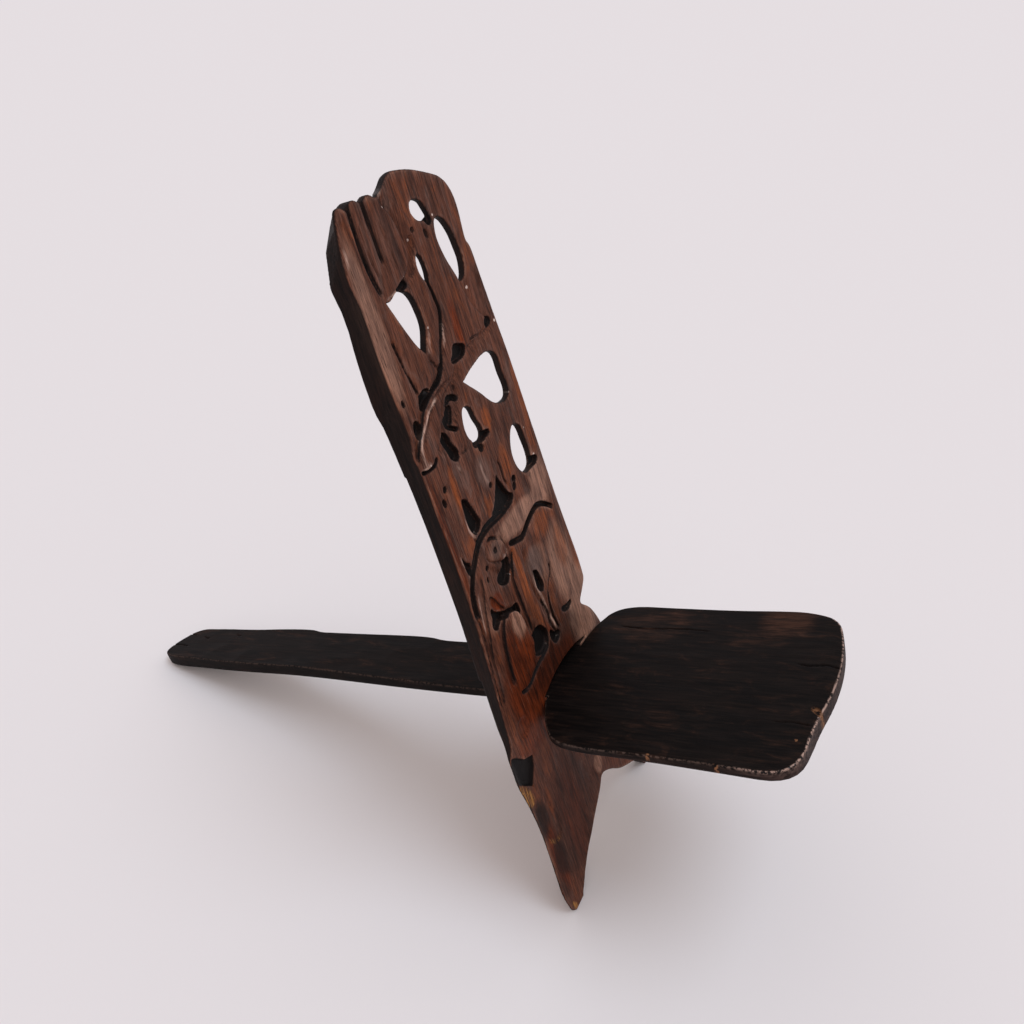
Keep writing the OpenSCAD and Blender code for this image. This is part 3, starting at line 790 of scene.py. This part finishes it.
print("back plank:", len(points), "points, thinned to", len(back_mesh.polygons), "faces")

# %% [markdown]
# ## What the wood remembers
#
# Handling and smoke have changed the wood place by place. Proud rims are rubbed
# bright, some stretches are worn to orange brown and others have gone grey. Pits and
# side faces are painted almost black as shade. Each of these is a map over the drawing,
# read at the mesh's points, so the material can mix its colours by it. The rub and the
# painted shade come from the relief itself: a place that stands out of its softened
# surroundings is rubbed, and one that lies below them is painted darker as shade.

# %% Maps for the back plank
def patches(sheet, ovals):
    """Soft oval patches: (x, y, half width, half length, strength)."""
    value = np.zeros(sheet.across.shape)
    for cx, cy, rx, ry, strength in ovals:
        r = np.hypot((sheet.across - cx) / rx, (sheet.along - cy) / ry)
        value = np.maximum(value, strength * ease(1.5 - r))
    return value


# Worn to orange brown
WORN = [
    (-62, 350, 22, 40, 0.6), (-75, 300, 60, 30, 0.5), (86, 640, 10, 60, 0.9),
    (80, 580, 9, 34, 0.8), (60, 840, 14, 40, 0.4), (2, 642, 10, 16, 1.0), (12, 584, 11, 26, 1.0),
    (-93, 602, 7, 30, 1.1), (-27, 440, 9, 60, 1.1), (-20, 376, 9, 34, 0.9),
    (46, 480, 22, 22, 1.0), (74, 430, 18, 34, 0.8), (100, 405, 7, 40, 0.7), (30, 402, 8, 30, 0.6),
    (-90, 850, 8, 40, 0.4), (6, 780, 18, 40, 0.5), (-48, 556, 10, 16, 0.9),
    (-60, 646, 14, 14, 0.4), (-130, 470, 6, 50, 0.8), (-108, 400, 9, 40, 0.5),
    (-118, 168, 7, 34, 0.8), (-97, 530, 12, 18, 0.7),
]
# Gone grey
GREYED = [
    (-128, 800, 14, 80, 0.6), (-66, 862, 16, 40, 0.6), (50, 420, 22, 30, 0.6),
    (20, 512, 46, 16, 0.6), (-80, 110, 60, 100, 0.6), (30, 150, 60, 60, 0.6),
    (66, 758, 14, 24, 0.6), (-50, 680, 22, 20, 0.6), (-36, 592, 18, 24, 0.9),
    (10, 442, 22, 26, 1.1), (-60, 505, 14, 12, 0.9), (90, 520, 14, 60, 0.5),
    (-104, 560, 8, 40, 0.5), (-104, 720, 20, 40, 0.4), (-60, 468, 14, 14, 0.9),
    (-42, 720, 20, 16, 0.5),
]
# Rubbed pale
PALE = [
    (10, 512, 70, 16, 1.0), (66, 410, 34, 60, 0.8), (82, 318, 38, 46, 1.4),
    (-60, 505, 20, 14, 0.6), (-90, 470, 20, 60, 0.4), (20, 436, 26, 30, 0.6),
    (70, 530, 24, 40, 0.9), (-128, 790, 14, 90, 0.8), (88, 352, 22, 40, 1.1),
    (100, 250, 30, 40, 0.6), (-62, 404, 14, 20, 1.1), (-112, 450, 9, 34, 0.5),
    (8, 116, 10, 14, 1.2), (-104, 590, 8, 30, 0.4),
]
# Dark red from smoke and polish
SMOKY = [
    (-84, 330, 44, 60, 1.0), (-40, 310, 60, 26, 0.9), (0, 308, 46, 22, 0.8),
    (-62, 352, 24, 34, 0.9), (2, 752, 9, 32, 0.8), (-138, 100, 12, 60, 0.8),
    (-100, 270, 50, 26, 0.6), (-80, 110, 40, 90, 0.55), (-86, 448, 12, 14, 1.2),
    (-130, 560, 6, 90, 0.7), (-20, 350, 20, 20, 0.8), (-86, 386, 14, 26, 0.8),
]
# Painted shade: darker patches around the slot, under the seat and on the foot
SHADED = [
    (-20, 322, 80, 34, 0.9), (40, 322, 30, 30, 0.8), (-30, 380, 16, 40, 0.6),
    (-70, 240, 80, 50, 0.4), (-70, 110, 70, 110, 0.75), (-112, 330, 20, 60, 0.5),
    (20, 200, 60, 60, 0.5),
]
# Scorched by a hot iron
SCORCHED = [
    (-142, 166, 17, 34, 0.62), (-136, 92, 17, 38, 0.62), (-146, 50, 10, 26, 0.5),
    (-112, 284, 8, 20, 0.35),
]
print("patches:", sum(map(len, (WORN, GREYED, PALE, SMOKY, SHADED, SCORCHED))))

# %% Lines and golden spots on the back plank
# Bare golden wood under the pocket and at the foot's tip, and the oval's golden rim
GOLD_STRIP = [(-163, 240), (-150, 226), (-148, 197), (-157, 199)]
GOLD_TIP = [(-146, 18), (-135, 10), (-136, 1), (-147, 10)]
GOLD_RIM = [(-145, 133), (-136, 121), (-128, 116), (-118, 117)]
# Painted highlights, thin light lines along arrises: (half width, strength, line)
PAINTED_HIGHLIGHT_LINES = [
    (1.6, 0.8, [(-134, 869), (-133, 864), (-134, 857), (-136, 849)]),
    (1.3, 0.6, [(-46, 910), (-55, 903), (-59, 897)]),
    (1.2, 0.6, [(-49, 766), (-51, 759), (-54, 752), (-59, 746), (-63, 742)]),
    (1.1, 0.7, [(-22, 768), (-24, 758), (-26, 753), (-28, 747), (-33, 737)]),
    (1.3, 0.6, [(-73, 817), (-74, 814), (-84, 811), (-98, 810)]),
    (1.3, 1.0, [(-72, 699), (-79, 696), (-92, 690), (-101, 684), (-107, 680), (-116, 673),
                (-122, 665), (-127, 656)]),
    (1.4, 0.8, [(-137, 643), (-127, 642), (-118, 642), (-114, 643)]),
    (1.4, 0.8, [(-96, 711), (-86, 709), (-78, 708), (-71, 711)]),
    (1.3, 0.7, [(-77, 623), (-73, 612)]),
    (1.2, 0.4, [(-36, 608), (-37, 592), (-34, 582), (-31, 572)]),
    (1.4, 0.8, [(-38, 500), (-39, 491), (-44, 488), (-51, 488)]),
    (1.4, 0.7, [(-95, 566), (-93, 548), (-86, 535)]),
    (1.4, 0.6, [(-124, 536), (-120, 517), (-117, 504), (-122, 494)]),
    (1.5, 0.6, [(-117, 482), (-119, 472), (-121, 459), (-124, 440), (-125, 431)]),
    (1.3, 0.6, [(-3, 434), (-3, 417), (1, 402), (5, 372)]),
    (1.4, 0.8, [(7, 371), (8, 359), (10, 344)]),
]

lit = np.maximum.reduce([groove(back_sheet, line, half, strength)
                         for half, strength, line in PAINTED_HIGHLIGHT_LINES])
gold = np.maximum.reduce([area(back_sheet, GOLD_STRIP, 3), area(back_sheet, GOLD_TIP, 3),
                          0.8 * groove(back_sheet, GOLD_RIM, 3, 1)])
burnt = np.maximum(pocket, patches(back_sheet, SCORCHED))
print("light lines:", len(PAINTED_HIGHLIGHT_LINES))

# %% What stands proud, and which way each point faces
# Air beside the wood counts as ground this deep, so that edges and rims stand proud
AIR = -7.0
SOFTENING = 2.6
body = np.where(np.maximum(plank_edge, -hole_edge) < 0, front, AIR)
proud = body - blurred(body, SOFTENING)

drawn = places(back_mesh)
forward = facing(back_mesh)
on_front = ease((forward - 0.58) / 0.24)
on_rear = ease((-forward - 0.75) / 0.2)
height = back_sheet.read(proud, drawn)
# Painted shade: cuts deeper than 1.3 mm and the side faces go nearly black
painted_cut_shade = ease((back_sheet.read(detail, drawn) - 1.3) / 2.4)
painted_side_shade = 0.94 * (1 - np.maximum(on_front, on_rear))
print("points on the front:", int((on_front > 0.5).sum()), "of", len(drawn))

# %% Keeping the back plank's maps
keep_drawing(back_mesh, drawn)
# The dark map is painted shade, in the cuts and on the sides
paint_map(back_mesh, "dark", np.maximum(painted_cut_shade * on_front, painted_side_shade))
paint_map(back_mesh, "rear", on_rear * (1 - on_front))
paint_map(back_mesh, "rim", ease((height - 0.35) / 1.5) * on_front)
# Painted shade: darker where the relief lies below its softened surroundings
paint_map(back_mesh, "crease_shade", ease((-height - 0.15) / 1.2) * on_front)
front_maps = {
    "worn": patches(back_sheet, WORN), "grey": patches(back_sheet, GREYED),
    "pale": patches(back_sheet, PALE), "smoky": patches(back_sheet, SMOKY),
    "shade": patches(back_sheet, SHADED), "gold": gold, "burnt": burnt, "lit": lit,
}
for name, values in front_maps.items():
    paint_map(back_mesh, name, back_sheet.read(values, drawn) * (1 - 0.8 * on_rear))
back_mesh.vertices.foreach_set("co", stand_back(drawn).astype(np.float32).ravel())
back_mesh.update()
print("maps on the back plank:", len(front_maps) + 4)

# %% [markdown]
# ## Carving the seat plank
#
# The seat plank is one board: paddle, shoulders and tail. Its top is flat but for
# the marks of the blade, its front edge is rounded by use, and long bevels
# underneath thin the sides of the paddle and of the tail.

# %% The seat plank's outline
# Both outlines are drawn whole, and the plank is where either of them is
PADDLE = [
    (58, -0.3, 0), (-64, -0.3, 0), (-99.25, -16, 30), (-128.5, -38, 20), (-134.5, -74, 26),
    (-131.5, -167, 60), (-134.5, -318, 40), (-55, -323, 24), (5, -334, 40), (69, -334, 40),
    (130, -321, 22), (145.5, -284, 24), (142.5, -167, 60), (144.5, -48, 24),
    (131.5, -17, 18), (92, -2, 20),
]
TAIL = [
    (-55, -83.5, 0), (49, -83.5, 0), (49, 22, 10), (42, 130.3, 60), (42, 222.3, 10), (49, 253, 40),
    (46, 360.4, 80), (42, 467.7, 12), (49, 498.4, 50), (36, 636.4, 60), (29, 753.7, 24),
    (-15, 773.7, 24), (-43, 771.7, 14), (-49, 743.7, 20), (-50, 575, 60), (-44, 437, 90),
    (-55, 168.7, 90), (-55, 22, 10),
]
seat_sheet = Sheet((-140, -340), (150, 778))
x, y = seat_sheet.across, seat_sheet.along
seat_edge = np.minimum(seat_sheet.inside(soft(PADDLE), PLANK_REACH),
                       seat_sheet.inside(soft(TAIL), PLANK_REACH))
print("seat sheet:", x.shape, "squares")

# %% The seat plank's underside and top
PADDLE_LEN, TAIL_LEN = 334, 771.7
# Long bevels under the paddle and under the tail: where the part is, how far along it a
# place is, its middle and half width, the bevel's width, and the wood left at its edge
# at the start and at the end
UNDERSIDES = [
    (y < 0, -y / PADDLE_LEN, 5, 139.5, 62, 9, 15),
    (y >= 0, y / TAIL_LEN, -3, 52, 22, 12, 24),
]
# The top lies this far under the solid's, before the blade's marks
TOP_SKIN = 0.55
# The front edge is worn down by this, over the last stretch before it
FRONT_WEAR, WEAR_FROM, WEAR_OVER = 2.4, 318, 16
# A nick across the front edge, where a splinter has come off
NICK = [(-33, -314), (-39, -318), (-48, -330), (-54, -340), (-42, -340), (-36, -328), (-29, -318)]
NICK_DEPTH = 2.6

under = np.zeros(x.shape)
for part, run, middle, half, width, near, end in UNDERSIDES:
    left = near + (end - near) * np.clip(run, 0, 1)
    inward = half - np.abs(x - middle)
    bevel = (SEAT_THICK - left) * (1 - inward / width)
    under = np.where(part, np.maximum(under, bevel), under)
blade = 0.35 * ripples(seat_sheet, 11, 30, 90) + 0.2 * ripples(seat_sheet, 12, 9, 50)
hewn = ripples(seat_sheet, 13, 34, 60) * ease((y - 60) / 60)
top = SEAT_THICK - TOP_SKIN + blade - np.abs(hewn)
top = top - FRONT_WEAR * ease((-y - WEAR_FROM) / WEAR_OVER)
nick = area(seat_sheet, NICK, 2.5)
top = top - NICK_DEPTH * nick
print("the top lies at, mm: from", round(top.min(), 1), "to", round(top.max(), 1))

# %% Cracks in the seat plank
# Each crack is (half width, depth, line)
CRACKS = [
    (1.2, 2.4, [(40, -336), (42, -318), (39, -300), (41, -284)]),
    (1.0, 2.0, [(-60, -322), (-57, -300), (-59, -276)]),
    (1.2, 2.4, [(-20, 778), (-18, 752), (-21, 730)]),
    (1.2, 2.2, [(12, 778), (12, 758), (9, 740)]),
    (1.0, 1.6, [(96, -40), (93, -80), (96, -130), (94, -170)]),
    (1.6, 2.4, [(9, 722), (5, 711), (4, 700)]),
    (1.4, 2.0, [(21, 650), (17, 641), (16, 632)]),
]

for half, depth, line in CRACKS:
    top = top - groove(seat_sheet, line, half, depth)
print("cracks:", len(CRACKS))

# %% The seat plank's mesh
TOP_ROUNDING, UNDER_ROUNDING = 2.2, 5.0
SEAT_TRIANGLES = 150000

z = np.arange(-FRONT_ROOM, SEAT_THICK + FRONT_ROOM, STEP)[None, None, :]
over_top = z - top[:, :, None]
field = both(over_top, np.broadcast_to(seat_edge[:, :, None], over_top.shape), TOP_ROUNDING)
field = both(field, under[:, :, None] - z, UNDER_ROUNDING)
height = (-y[:, :, None] * math.sin(LEAN) + z * math.cos(LEAN)
          + SLOT_HEIGHT * math.cos(LEAN))
field = np.maximum(field, -height).astype(np.float32)
low = (seat_sheet.x[0], seat_sheet.y[0], z[0, 0, 0])
points, faces = surface_net(field, low, (STEP,) * 3)
seat_mesh = thinned(to_mesh("seat_board", points, faces), SEAT_TRIANGLES)
print("seat plank:", len(points), "points, thinned to", len(seat_mesh.polygons), "faces")

# %% Maps for the seat plank
drawn = places(seat_mesh)
inner = seat_sheet.read(seat_edge, drawn)
brown = patches(seat_sheet, [(122, -258, 36, 38, 0.65), (104, -80, 50, 70, 0.45),
                             (40, -200, 60, 60, 0.2)])
deep = seat_sheet.read(top, drawn) - drawn[:, 2]
# The arris is rubbed and painted as a highlight along the front, less on the sides, hardly on the
# tail
ahead = ease((-drawn[:, 1] - 236) / 60)
share = np.where(drawn[:, 1] > 0, 0.1, 0.15 + 0.85 * ahead)
arris = ease(1 - np.abs(inner + 0.9) / 1.3) * ease((drawn[:, 2] - 18) / 4) * share
# Side faces lie below the top, and the material paints them darker as shade
side = ease((deep - 1.6) / 1.6)
keep_drawing(seat_mesh, drawn)
paint_map(seat_mesh, "rim", arris)
paint_map(seat_mesh, "brown", seat_sheet.read(brown, drawn))
paint_map(seat_mesh, "side", side)
paint_map(seat_mesh, "edge", side * (drawn[:, 1] < 0) * (0.2 + 0.55 * ahead))
paint_map(seat_mesh, "nick", seat_sheet.read(nick, drawn) * (deep < 16))
seat_mesh.vertices.foreach_set("co", stand_seat(drawn).astype(np.float32).ravel())
seat_mesh.update()
print("points on the rubbed arris:", int((arris > 0.5).sum()))

# %% [markdown]
# ## Writing materials as sums
#
# A material is a net of nodes, and most of them are arithmetic. This small class
# holds one socket, and its operators add the Math node for a sum, so that a mask
# can be written as 1 - rim * 0.5. A place on the drawing is a vector, and the same
# operators give it a Vector Math node. Every other node comes from one method.

# %% Sockets that can be added and multiplied
class Wire:
    """One output of a net of nodes, or the bare net, before it has any."""

    def __init__(self, tree, socket=None):
        self.tree, self.socket = tree, socket

    def node(self, kind, settings=None, out=0, **inputs):
        """Adds a node: its settings first, then the values or wires of its inputs.

        An input goes by its label, with _ for a space, or by in_ and its number.
        """
        node = self.tree.nodes.new(kind)
        for name, value in (settings or {}).items():
            setattr(node, name, value)
        for name, value in inputs.items():
            at = int(name[3:]) if name.startswith("in_") else name.replace("_", " ")
            if isinstance(value, Wire):
                self.tree.links.new(value.socket, node.inputs[at])
            else:
                node.inputs[at].default_value = value
        return Wire(self.tree, node.outputs[out] if node.outputs else None)

    def sum(self, operation, a, b):
        flat = all(not isinstance(v, Wire) or v.socket.type == "VALUE" for v in (a, b))
        kind = "ShaderNodeMath" if flat else "ShaderNodeVectorMath"
        return self.node(kind, {"operation": operation}, in_0=a, in_1=b)

    def __add__(self, other): return self.sum("ADD", self, other)
    def __radd__(self, other): return self.sum("ADD", other, self)
    def __sub__(self, other): return self.sum("SUBTRACT", self, other)
    def __rsub__(self, other): return self.sum("SUBTRACT", other, self)
    def __mul__(self, other): return self.sum("MULTIPLY", self, other)
    def __rmul__(self, other): return self.sum("MULTIPLY", other, self)


def new_material(name):
    """A material and its empty net."""
    material = bpy.data.materials.new(name)
    material.use_nodes = True
    material.node_tree.nodes.clear()
    return material, Wire(material.node_tree)


sums = [name for name in vars(Wire) if name.endswith(("add__", "sub__", "mul__"))]
print("operators of a wire:", len(sums))

# %% Colours, patterns and masks
def paint(red, green, blue):
    """A colour by its 0 to 255 values on a screen."""
    line = [(c / 255 / 12.92) if c <= 10 else ((c / 255 + 0.055) / 1.055) ** 2.4
            for c in (red, green, blue)]
    return (*line, 1.0)


def mix(mask, a, b):
    """Colour a where the mask is 0, and b where it is 1."""
    return mask.node("ShaderNodeMix", {"data_type": "RGBA", "clamp_factor": True}, 2,
                     in_0=mask, in_6=a, in_7=b)


def noise(where, detail, rough, bend=0.0, scale=1.0):
    """Soft random values round 0.5."""
    return where.node("ShaderNodeTexNoise", Vector=where, Scale=scale,
                      Detail=detail, Roughness=rough, Distortion=bend)


def between(value, low, high):
    """0 at low, 1 at high, smooth between."""
    return value.node("ShaderNodeMapRange", {"interpolation_type": "SMOOTHSTEP"},
                      Value=value, From_Min=low, From_Max=high)


def mapped(net, name, vector=False):
    """A map that was kept on the mesh."""
    return net.node("ShaderNodeAttribute", {"attribute_name": name}, 1 if vector else 2)


def spots(drawing, places_and_sizes):
    """A mask of small round spots on the drawing."""
    flat = drawing * (1, 1, 0)
    total = 0.0
    for px, py, size in places_and_sizes:
        far = flat.node("ShaderNodeVectorMath", {"operation": "DISTANCE"}, 1,
                        in_0=flat, in_1=(MM * px, MM * py, 0))
        total = 1 - between(far, MM * size * 0.5, MM * size) + total
    return total


def finish_surface(net, colour, roughness, height, bump, shine, coat):
    """Joins colour, roughness, a bump and a coat to one shader."""
    normal = net.node("ShaderNodeBump", Height=height, Distance=bump, Strength=1.0)
    shader = net.node("ShaderNodeBsdfPrincipled", Base_Color=colour, Roughness=roughness,
                      Normal=normal, Specular_IOR_Level=shine, Coat_Weight=coat,
                      Coat_Roughness=0.15)
    net.node("ShaderNodeOutputMaterial", Surface=shader)
    print("nodes of the whole material:", len(net.tree.nodes))


print("mid grey as light:", round(paint(128, 128, 128)[0], 3))

# %% [markdown]
# ## The back plank's wood
#
# The front is a red brown hardwood with an open grain. The grain runs up the plank:
# broad bands that turn redder or greyer, streaks a few millimetres wide inside them,
# fine fibres inside those, and short black pores. Over that lie the maps.
# Tiny pale spots at a few corners are painted glints, and thin light lines are painted highlights.

# %% Grain of the back plank
back_wood, net = new_material("red_brown_wood")
at = mapped(net, "drawing", vector=True)
bands = noise(at * (62, 6, 62), 4, 0.6, 0.7)
hues = noise(at * (46, 15, 46), 5, 0.65, 0.8)
streaks = noise(at * (300, 18, 300), 4, 0.65, 0.5)
fibres = noise(at * (640, 40, 640), 4, 0.65, 0.3)
strokes = noise(at * (560, 24, 560), 3, 0.6, 0.2)
pores = noise(at * (1100, 80, 1100), 2, 0.5)
grain = between(bands * 0.35 + streaks * 0.25 + fibres * 0.4, 0.37, 0.64)
print("nodes of the grain:", len(net.tree.nodes))

# %% Colours of the back plank
# Each wood has a dark and a light colour, and the grain runs between them
red = mix(grain, paint(44, 22, 15), paint(112, 66, 50))
orange = mix(grain, paint(74, 33, 16), paint(158, 82, 42))
grey = mix(grain, paint(62, 45, 41), paint(118, 90, 81))
pale = mix(grain, paint(96, 66, 56), paint(174, 128, 108))
smoky = mix(grain, paint(42, 15, 6), paint(124, 52, 22))
black = mix(grain, paint(9, 7, 7), paint(24, 18, 17))
PORE, BARE_GOLD = paint(20, 10, 8), paint(168, 116, 60)
# Paint for the painted highlight lines, and for the painted glints
HIGHLIGHT_PAINT, GLINT_PAINT = paint(214, 172, 154), paint(226, 202, 192)
print("light end of the red:", [round(c, 3) for c in paint(112, 66, 50)[:3]])

# %% Wear of the back plank, from the widest changes to the finest
# Painted glints, small pale spots on the front: (x, y, size)
GLINT_SPOTS = [(-59, 897, 1.6), (-57, 890, 1.5), (20, 865, 1.6), (-31, 852, 2.0), (-86, 860, 1.2),
         (-59, 822, 1.5), (44, 781, 2.4), (-49, 766, 1.6), (-23, 762, 1.2), (77, 732, 2.2),
         (62, 649, 1.5), (-71, 634, 1.6), (76, 560, 2.6), (70, 599, 1.4), (-11, 544, 1.4),
         (-80, 540, 2.4), (-43, 470, 1.4), (-44, 462, 1.2), (-89, 432, 1.6), (-18, 341, 1.6),
         (11, 333, 2.0), (-109, 432, 1.6), (-118, 642, 1.4)]

rim, dark, lit = mapped(net, "rim"), mapped(net, "dark"), mapped(net, "lit")
behind = mapped(net, "rear")
# Broad changes of the wood itself
colour = mix(between(hues, 0.52, 0.68) * 0.45, red, orange)
colour = mix(between(hues, 0.47, 0.32) * 0.55, colour, grey)
# Patches by handling, light and smoke
colour = mix(between(mapped(net, "pale") + hues * 0.6, 0.55, 1.2) * 0.9, colour, pale)
colour = mix(between(mapped(net, "grey") * 0.8 + hues, 0.80, 1.45), colour, grey)
worn = mapped(net, "worn") * 0.7 + streaks * 0.5 + hues * 0.6
colour = mix(between(worn, 0.80, 1.40), colour, orange)
colour = mix(between(mapped(net, "smoky") + bands * 0.5, 0.40, 1.15), colour, smoky)
# Painted shade beside raised forms and in patches, light strokes, rubbed rims and black pores
colour = mix(mapped(net, "crease_shade") * 0.7, colour, black)
# Painted shade in the patches around the slot and under the seat
colour = mix(between(mapped(net, "shade") + bands * 0.5, 0.40, 1.30) * 0.6, colour, black)
colour = mix(between(strokes, 0.60, 0.72) * 0.28, colour, pale)
colour = mix(rim * between(hues, 0.46, 0.62) * 0.5, colour, pale)
colour = mix(between(pores, 0.58, 0.70) * 0.65, colour, PORE)
# Bare gold, scorching, the smoky rear, painted highlight lines, painted shade in the cuts and on
# the sides, and painted glints
colour = mix(mapped(net, "gold") * between(fibres, 0.44, 0.60), colour, BARE_GOLD)
colour = mix(between(mapped(net, "burnt") + bands * 0.3, 0.40, 0.95), colour, black)
colour = mix(behind * 0.6, colour, smoky)
# Painted highlights along the light lines
colour = mix(lit * between(fibres, 0.30, 0.50) * 0.9, colour, HIGHLIGHT_PAINT)
# Painted shade: the cuts and the sides turn black
colour = mix(dark, colour, black)
# Painted glints: small pale spots
glints = spots(at, GLINT_SPOTS) * between(fibres, 0.40, 0.52)
colour = mix(glints * (0.95 - dark * 0.95 - behind), colour, GLINT_PAINT)
rough = 0.5 + streaks * 0.16 - lit * 0.2
height = streaks * 0.4 + fibres * 0.35 + pores * 0.3 + bands * 0.3 + strokes * 0.3
finish_surface(net, colour, rough, height, bump=0.0010, shine=0.1, coat=lit * 0.7 + rim * 0.15)

# %% [markdown]
# ## The seat plank's wood
#
# The seat is nearly black from polish, with a little red brown showing through in
# patches. Its sides are painted darker as shade, and a line along its edges is partly
# rubbed wear and partly a painted highlight.

# %% Dark polished wood
# Golden spots on the near edge, where the polish has gone: (x, y, size)
BARE_SPOTS = [(-131, -160, 3.0), (-133, -236, 3.6), (-83, -308, 2.4)]

seat_wood, net = new_material("dark_polished_wood")
at = mapped(net, "drawing", vector=True)
bands = noise(at * (40, 7, 40), 4, 0.6, 0.8)
streaks = noise(at * (260, 22, 260), 4, 0.6, 0.5)
mottles = noise(at * (56, 20, 56), 5, 0.7, 0.8)
pores = noise(at * (900, 60, 900), 2, 0.5)
flecks = noise(at, 3, 0.6, scale=260)
grain = between(bands * 0.4 + streaks * 0.6, 0.36, 0.66)
black = mix(grain, paint(8, 6, 6), paint(25, 18, 16))
brown = mix(grain, paint(30, 18, 13), paint(72, 46, 36))
edge = mix(grain, paint(30, 22, 21), paint(80, 62, 58))
rim, nick = mapped(net, "rim"), mapped(net, "nick")
# Brown showing through the black, then the sides as painted shade, then the arris, rubbed and
# painted as a highlight, and the bare spots
colour = mix(between(mottles, 0.50, 0.74) * 0.5, black, brown)
colour = mix(between(mapped(net, "brown") + mottles * 0.9, 0.66, 1.25), colour, brown)
# Painted shade: the sides go darker
colour = mix(mapped(net, "side") * 0.6, colour, black)
colour = mix(mapped(net, "edge"), colour, edge)
# Painted highlight mixed with rubbed wear along the arris
colour = mix(rim * between(flecks, 0.40, 0.58), colour, paint(190, 156, 144))
bare = spots(at, BARE_SPOTS) * between(flecks, 0.44, 0.56)
bare = nick * between(flecks, 0.36, 0.60) * 0.7 + bare * 0.8
colour = mix(bare, colour, paint(140, 96, 68))
height = streaks * 0.5 + pores * 0.3 + bands * 0.6
finish_surface(net, colour, 0.45 + bands * 0.2, height, bump=0.0005, shine=0.05, coat=rim * 0.4)

# %% [markdown]
# ## Putting the pieces in place
#
# Each mesh becomes an object that stands for its solid, rides on that solid's body
# and takes the material made for it above.

# %% The two planks as pieces
def place_piece(name, mesh, material, body, node):
    """An object that stands for a solid, on that solid's body and in its slot."""
    mesh.shade_smooth()
    mesh.materials.clear()
    mesh.materials.append(material)
    piece = bpy.data.objects.new(name, mesh)
    bpy.context.scene.collection.objects.link(piece)
    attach(piece, body)
    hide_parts(node)
    print(name, "stands for", node, "on the body", body)


place_piece("carved_back", back_mesh, back_wood, "back", "back_plank")
place_piece("seat_board", seat_mesh, seat_wood, "seat", "seat_plank")

# %% [markdown]
# ## Floor and light
#
# The chair stands on a plain pale floor that runs on to the horizon. A pale sky all
# round gives most of the light, a little warm. One broad soft sun, almost overhead
# and a little cool, makes the shadow. Together they light a level face at about 1,
# so a colour renders about as it is written. The camera, and what mirrors, sees the
# sky in the floor's colour, which is no light on the chair.

# %% The studio
FLOOR_HALF = 60
# The floor lies just under the soles, so that the two don't flicker
FLOOR_DROP = 0.0003
PALE_GREY = paint(229, 222, 226)
SKY_LIGHT = (0.79, 0.737, 0.69, 1)
SUN_STRENGTH, SUN_WIDTH, SUN_COLOUR = 0.85, math.radians(32), (0.82, 1.03, 1.18)
SUN_FROM = Vector((0.05, -0.30, 1.0)).normalized()

floor_mesh = bpy.data.meshes.new("floor")
corners = [(sx * FLOOR_HALF, sy * FLOOR_HALF, -FLOOR_DROP)
           for sx, sy in ((-1, -1), (1, -1), (1, 1), (-1, 1))]
floor_mesh.from_pydata(corners, [], [(0, 1, 2, 3)])
floor = bpy.data.objects.new("floor", floor_mesh)
bpy.context.scene.collection.objects.link(floor)
floor_paint, net = new_material("pale_floor")
net.node("ShaderNodeOutputMaterial", Surface=net.node("ShaderNodeBsdfDiffuse", Color=PALE_GREY))
floor_mesh.materials.append(floor_paint)

world = bpy.data.worlds.new("studio")
bpy.context.scene.world = world
world.use_nodes = True
world.node_tree.nodes.clear()
net = Wire(world.node_tree)
seen, mirrored, through = (net.node("ShaderNodeLightPath", None, "Is " + kind + " Ray")
                           for kind in ("Camera", "Glossy", "Transmission"))
shown = mix(seen + mirrored + through, SKY_LIGHT, PALE_GREY)
net.node("ShaderNodeOutputWorld", Surface=net.node("ShaderNodeBackground", Color=shown))

sun = bpy.data.lights.new("soft_sun", "SUN")
sun.energy, sun.angle, sun.color = SUN_STRENGTH, SUN_WIDTH, SUN_COLOUR
sun_object = bpy.data.objects.new("soft_sun", sun)
bpy.context.scene.collection.objects.link(sun_object)
sun_object.rotation_mode = "QUATERNION"
sun_object.rotation_quaternion = SUN_FROM.to_track_quat("Z", "Y")
level = [round(sky + colour * SUN_STRENGTH * SUN_FROM.z / math.pi, 2)
         for sky, colour in zip(SKY_LIGHT, SUN_COLOUR)]
print("light on a level face:", level)

# %% [markdown]
# ## The camera
#
# The photo was taken from above and from the left of the front, with a wide lens.
# The camera's place, its lens and the way it looks were fitted to the planks' edges.

# %% The camera
CAMERA_AT = Vector((-0.750323, -0.493319, 1.051999))
LOOKING = Vector((0.74651992, 0.36659852, -0.55525988)).normalized()
RIGHTWARD = Vector((0.4486952, -0.89358622, 0.01327761)).normalized()
FILM_MM, LENS_MM = 36, 29.848

upward = RIGHTWARD.cross(LOOKING)
camera_data = bpy.data.cameras.new("camera")
camera_data.sensor_width = FILM_MM
camera_data.lens = LENS_MM
camera_data.clip_start = 0.01
camera = bpy.data.objects.new("camera", camera_data)
bpy.context.scene.collection.objects.link(camera)
turned = Matrix((RIGHTWARD, upward, -LOOKING)).transposed().to_4x4()
camera.matrix_world = Matrix.Translation(CAMERA_AT) @ turned
bpy.context.scene.camera = camera
bpy.context.scene.view_settings.view_transform = "Standard"
print("camera stands", round(CAMERA_AT.length, 2), "m from the middle of the floor")

# %% [markdown]
# ## Closing
#
# The carved chair must not outgrow its solids.
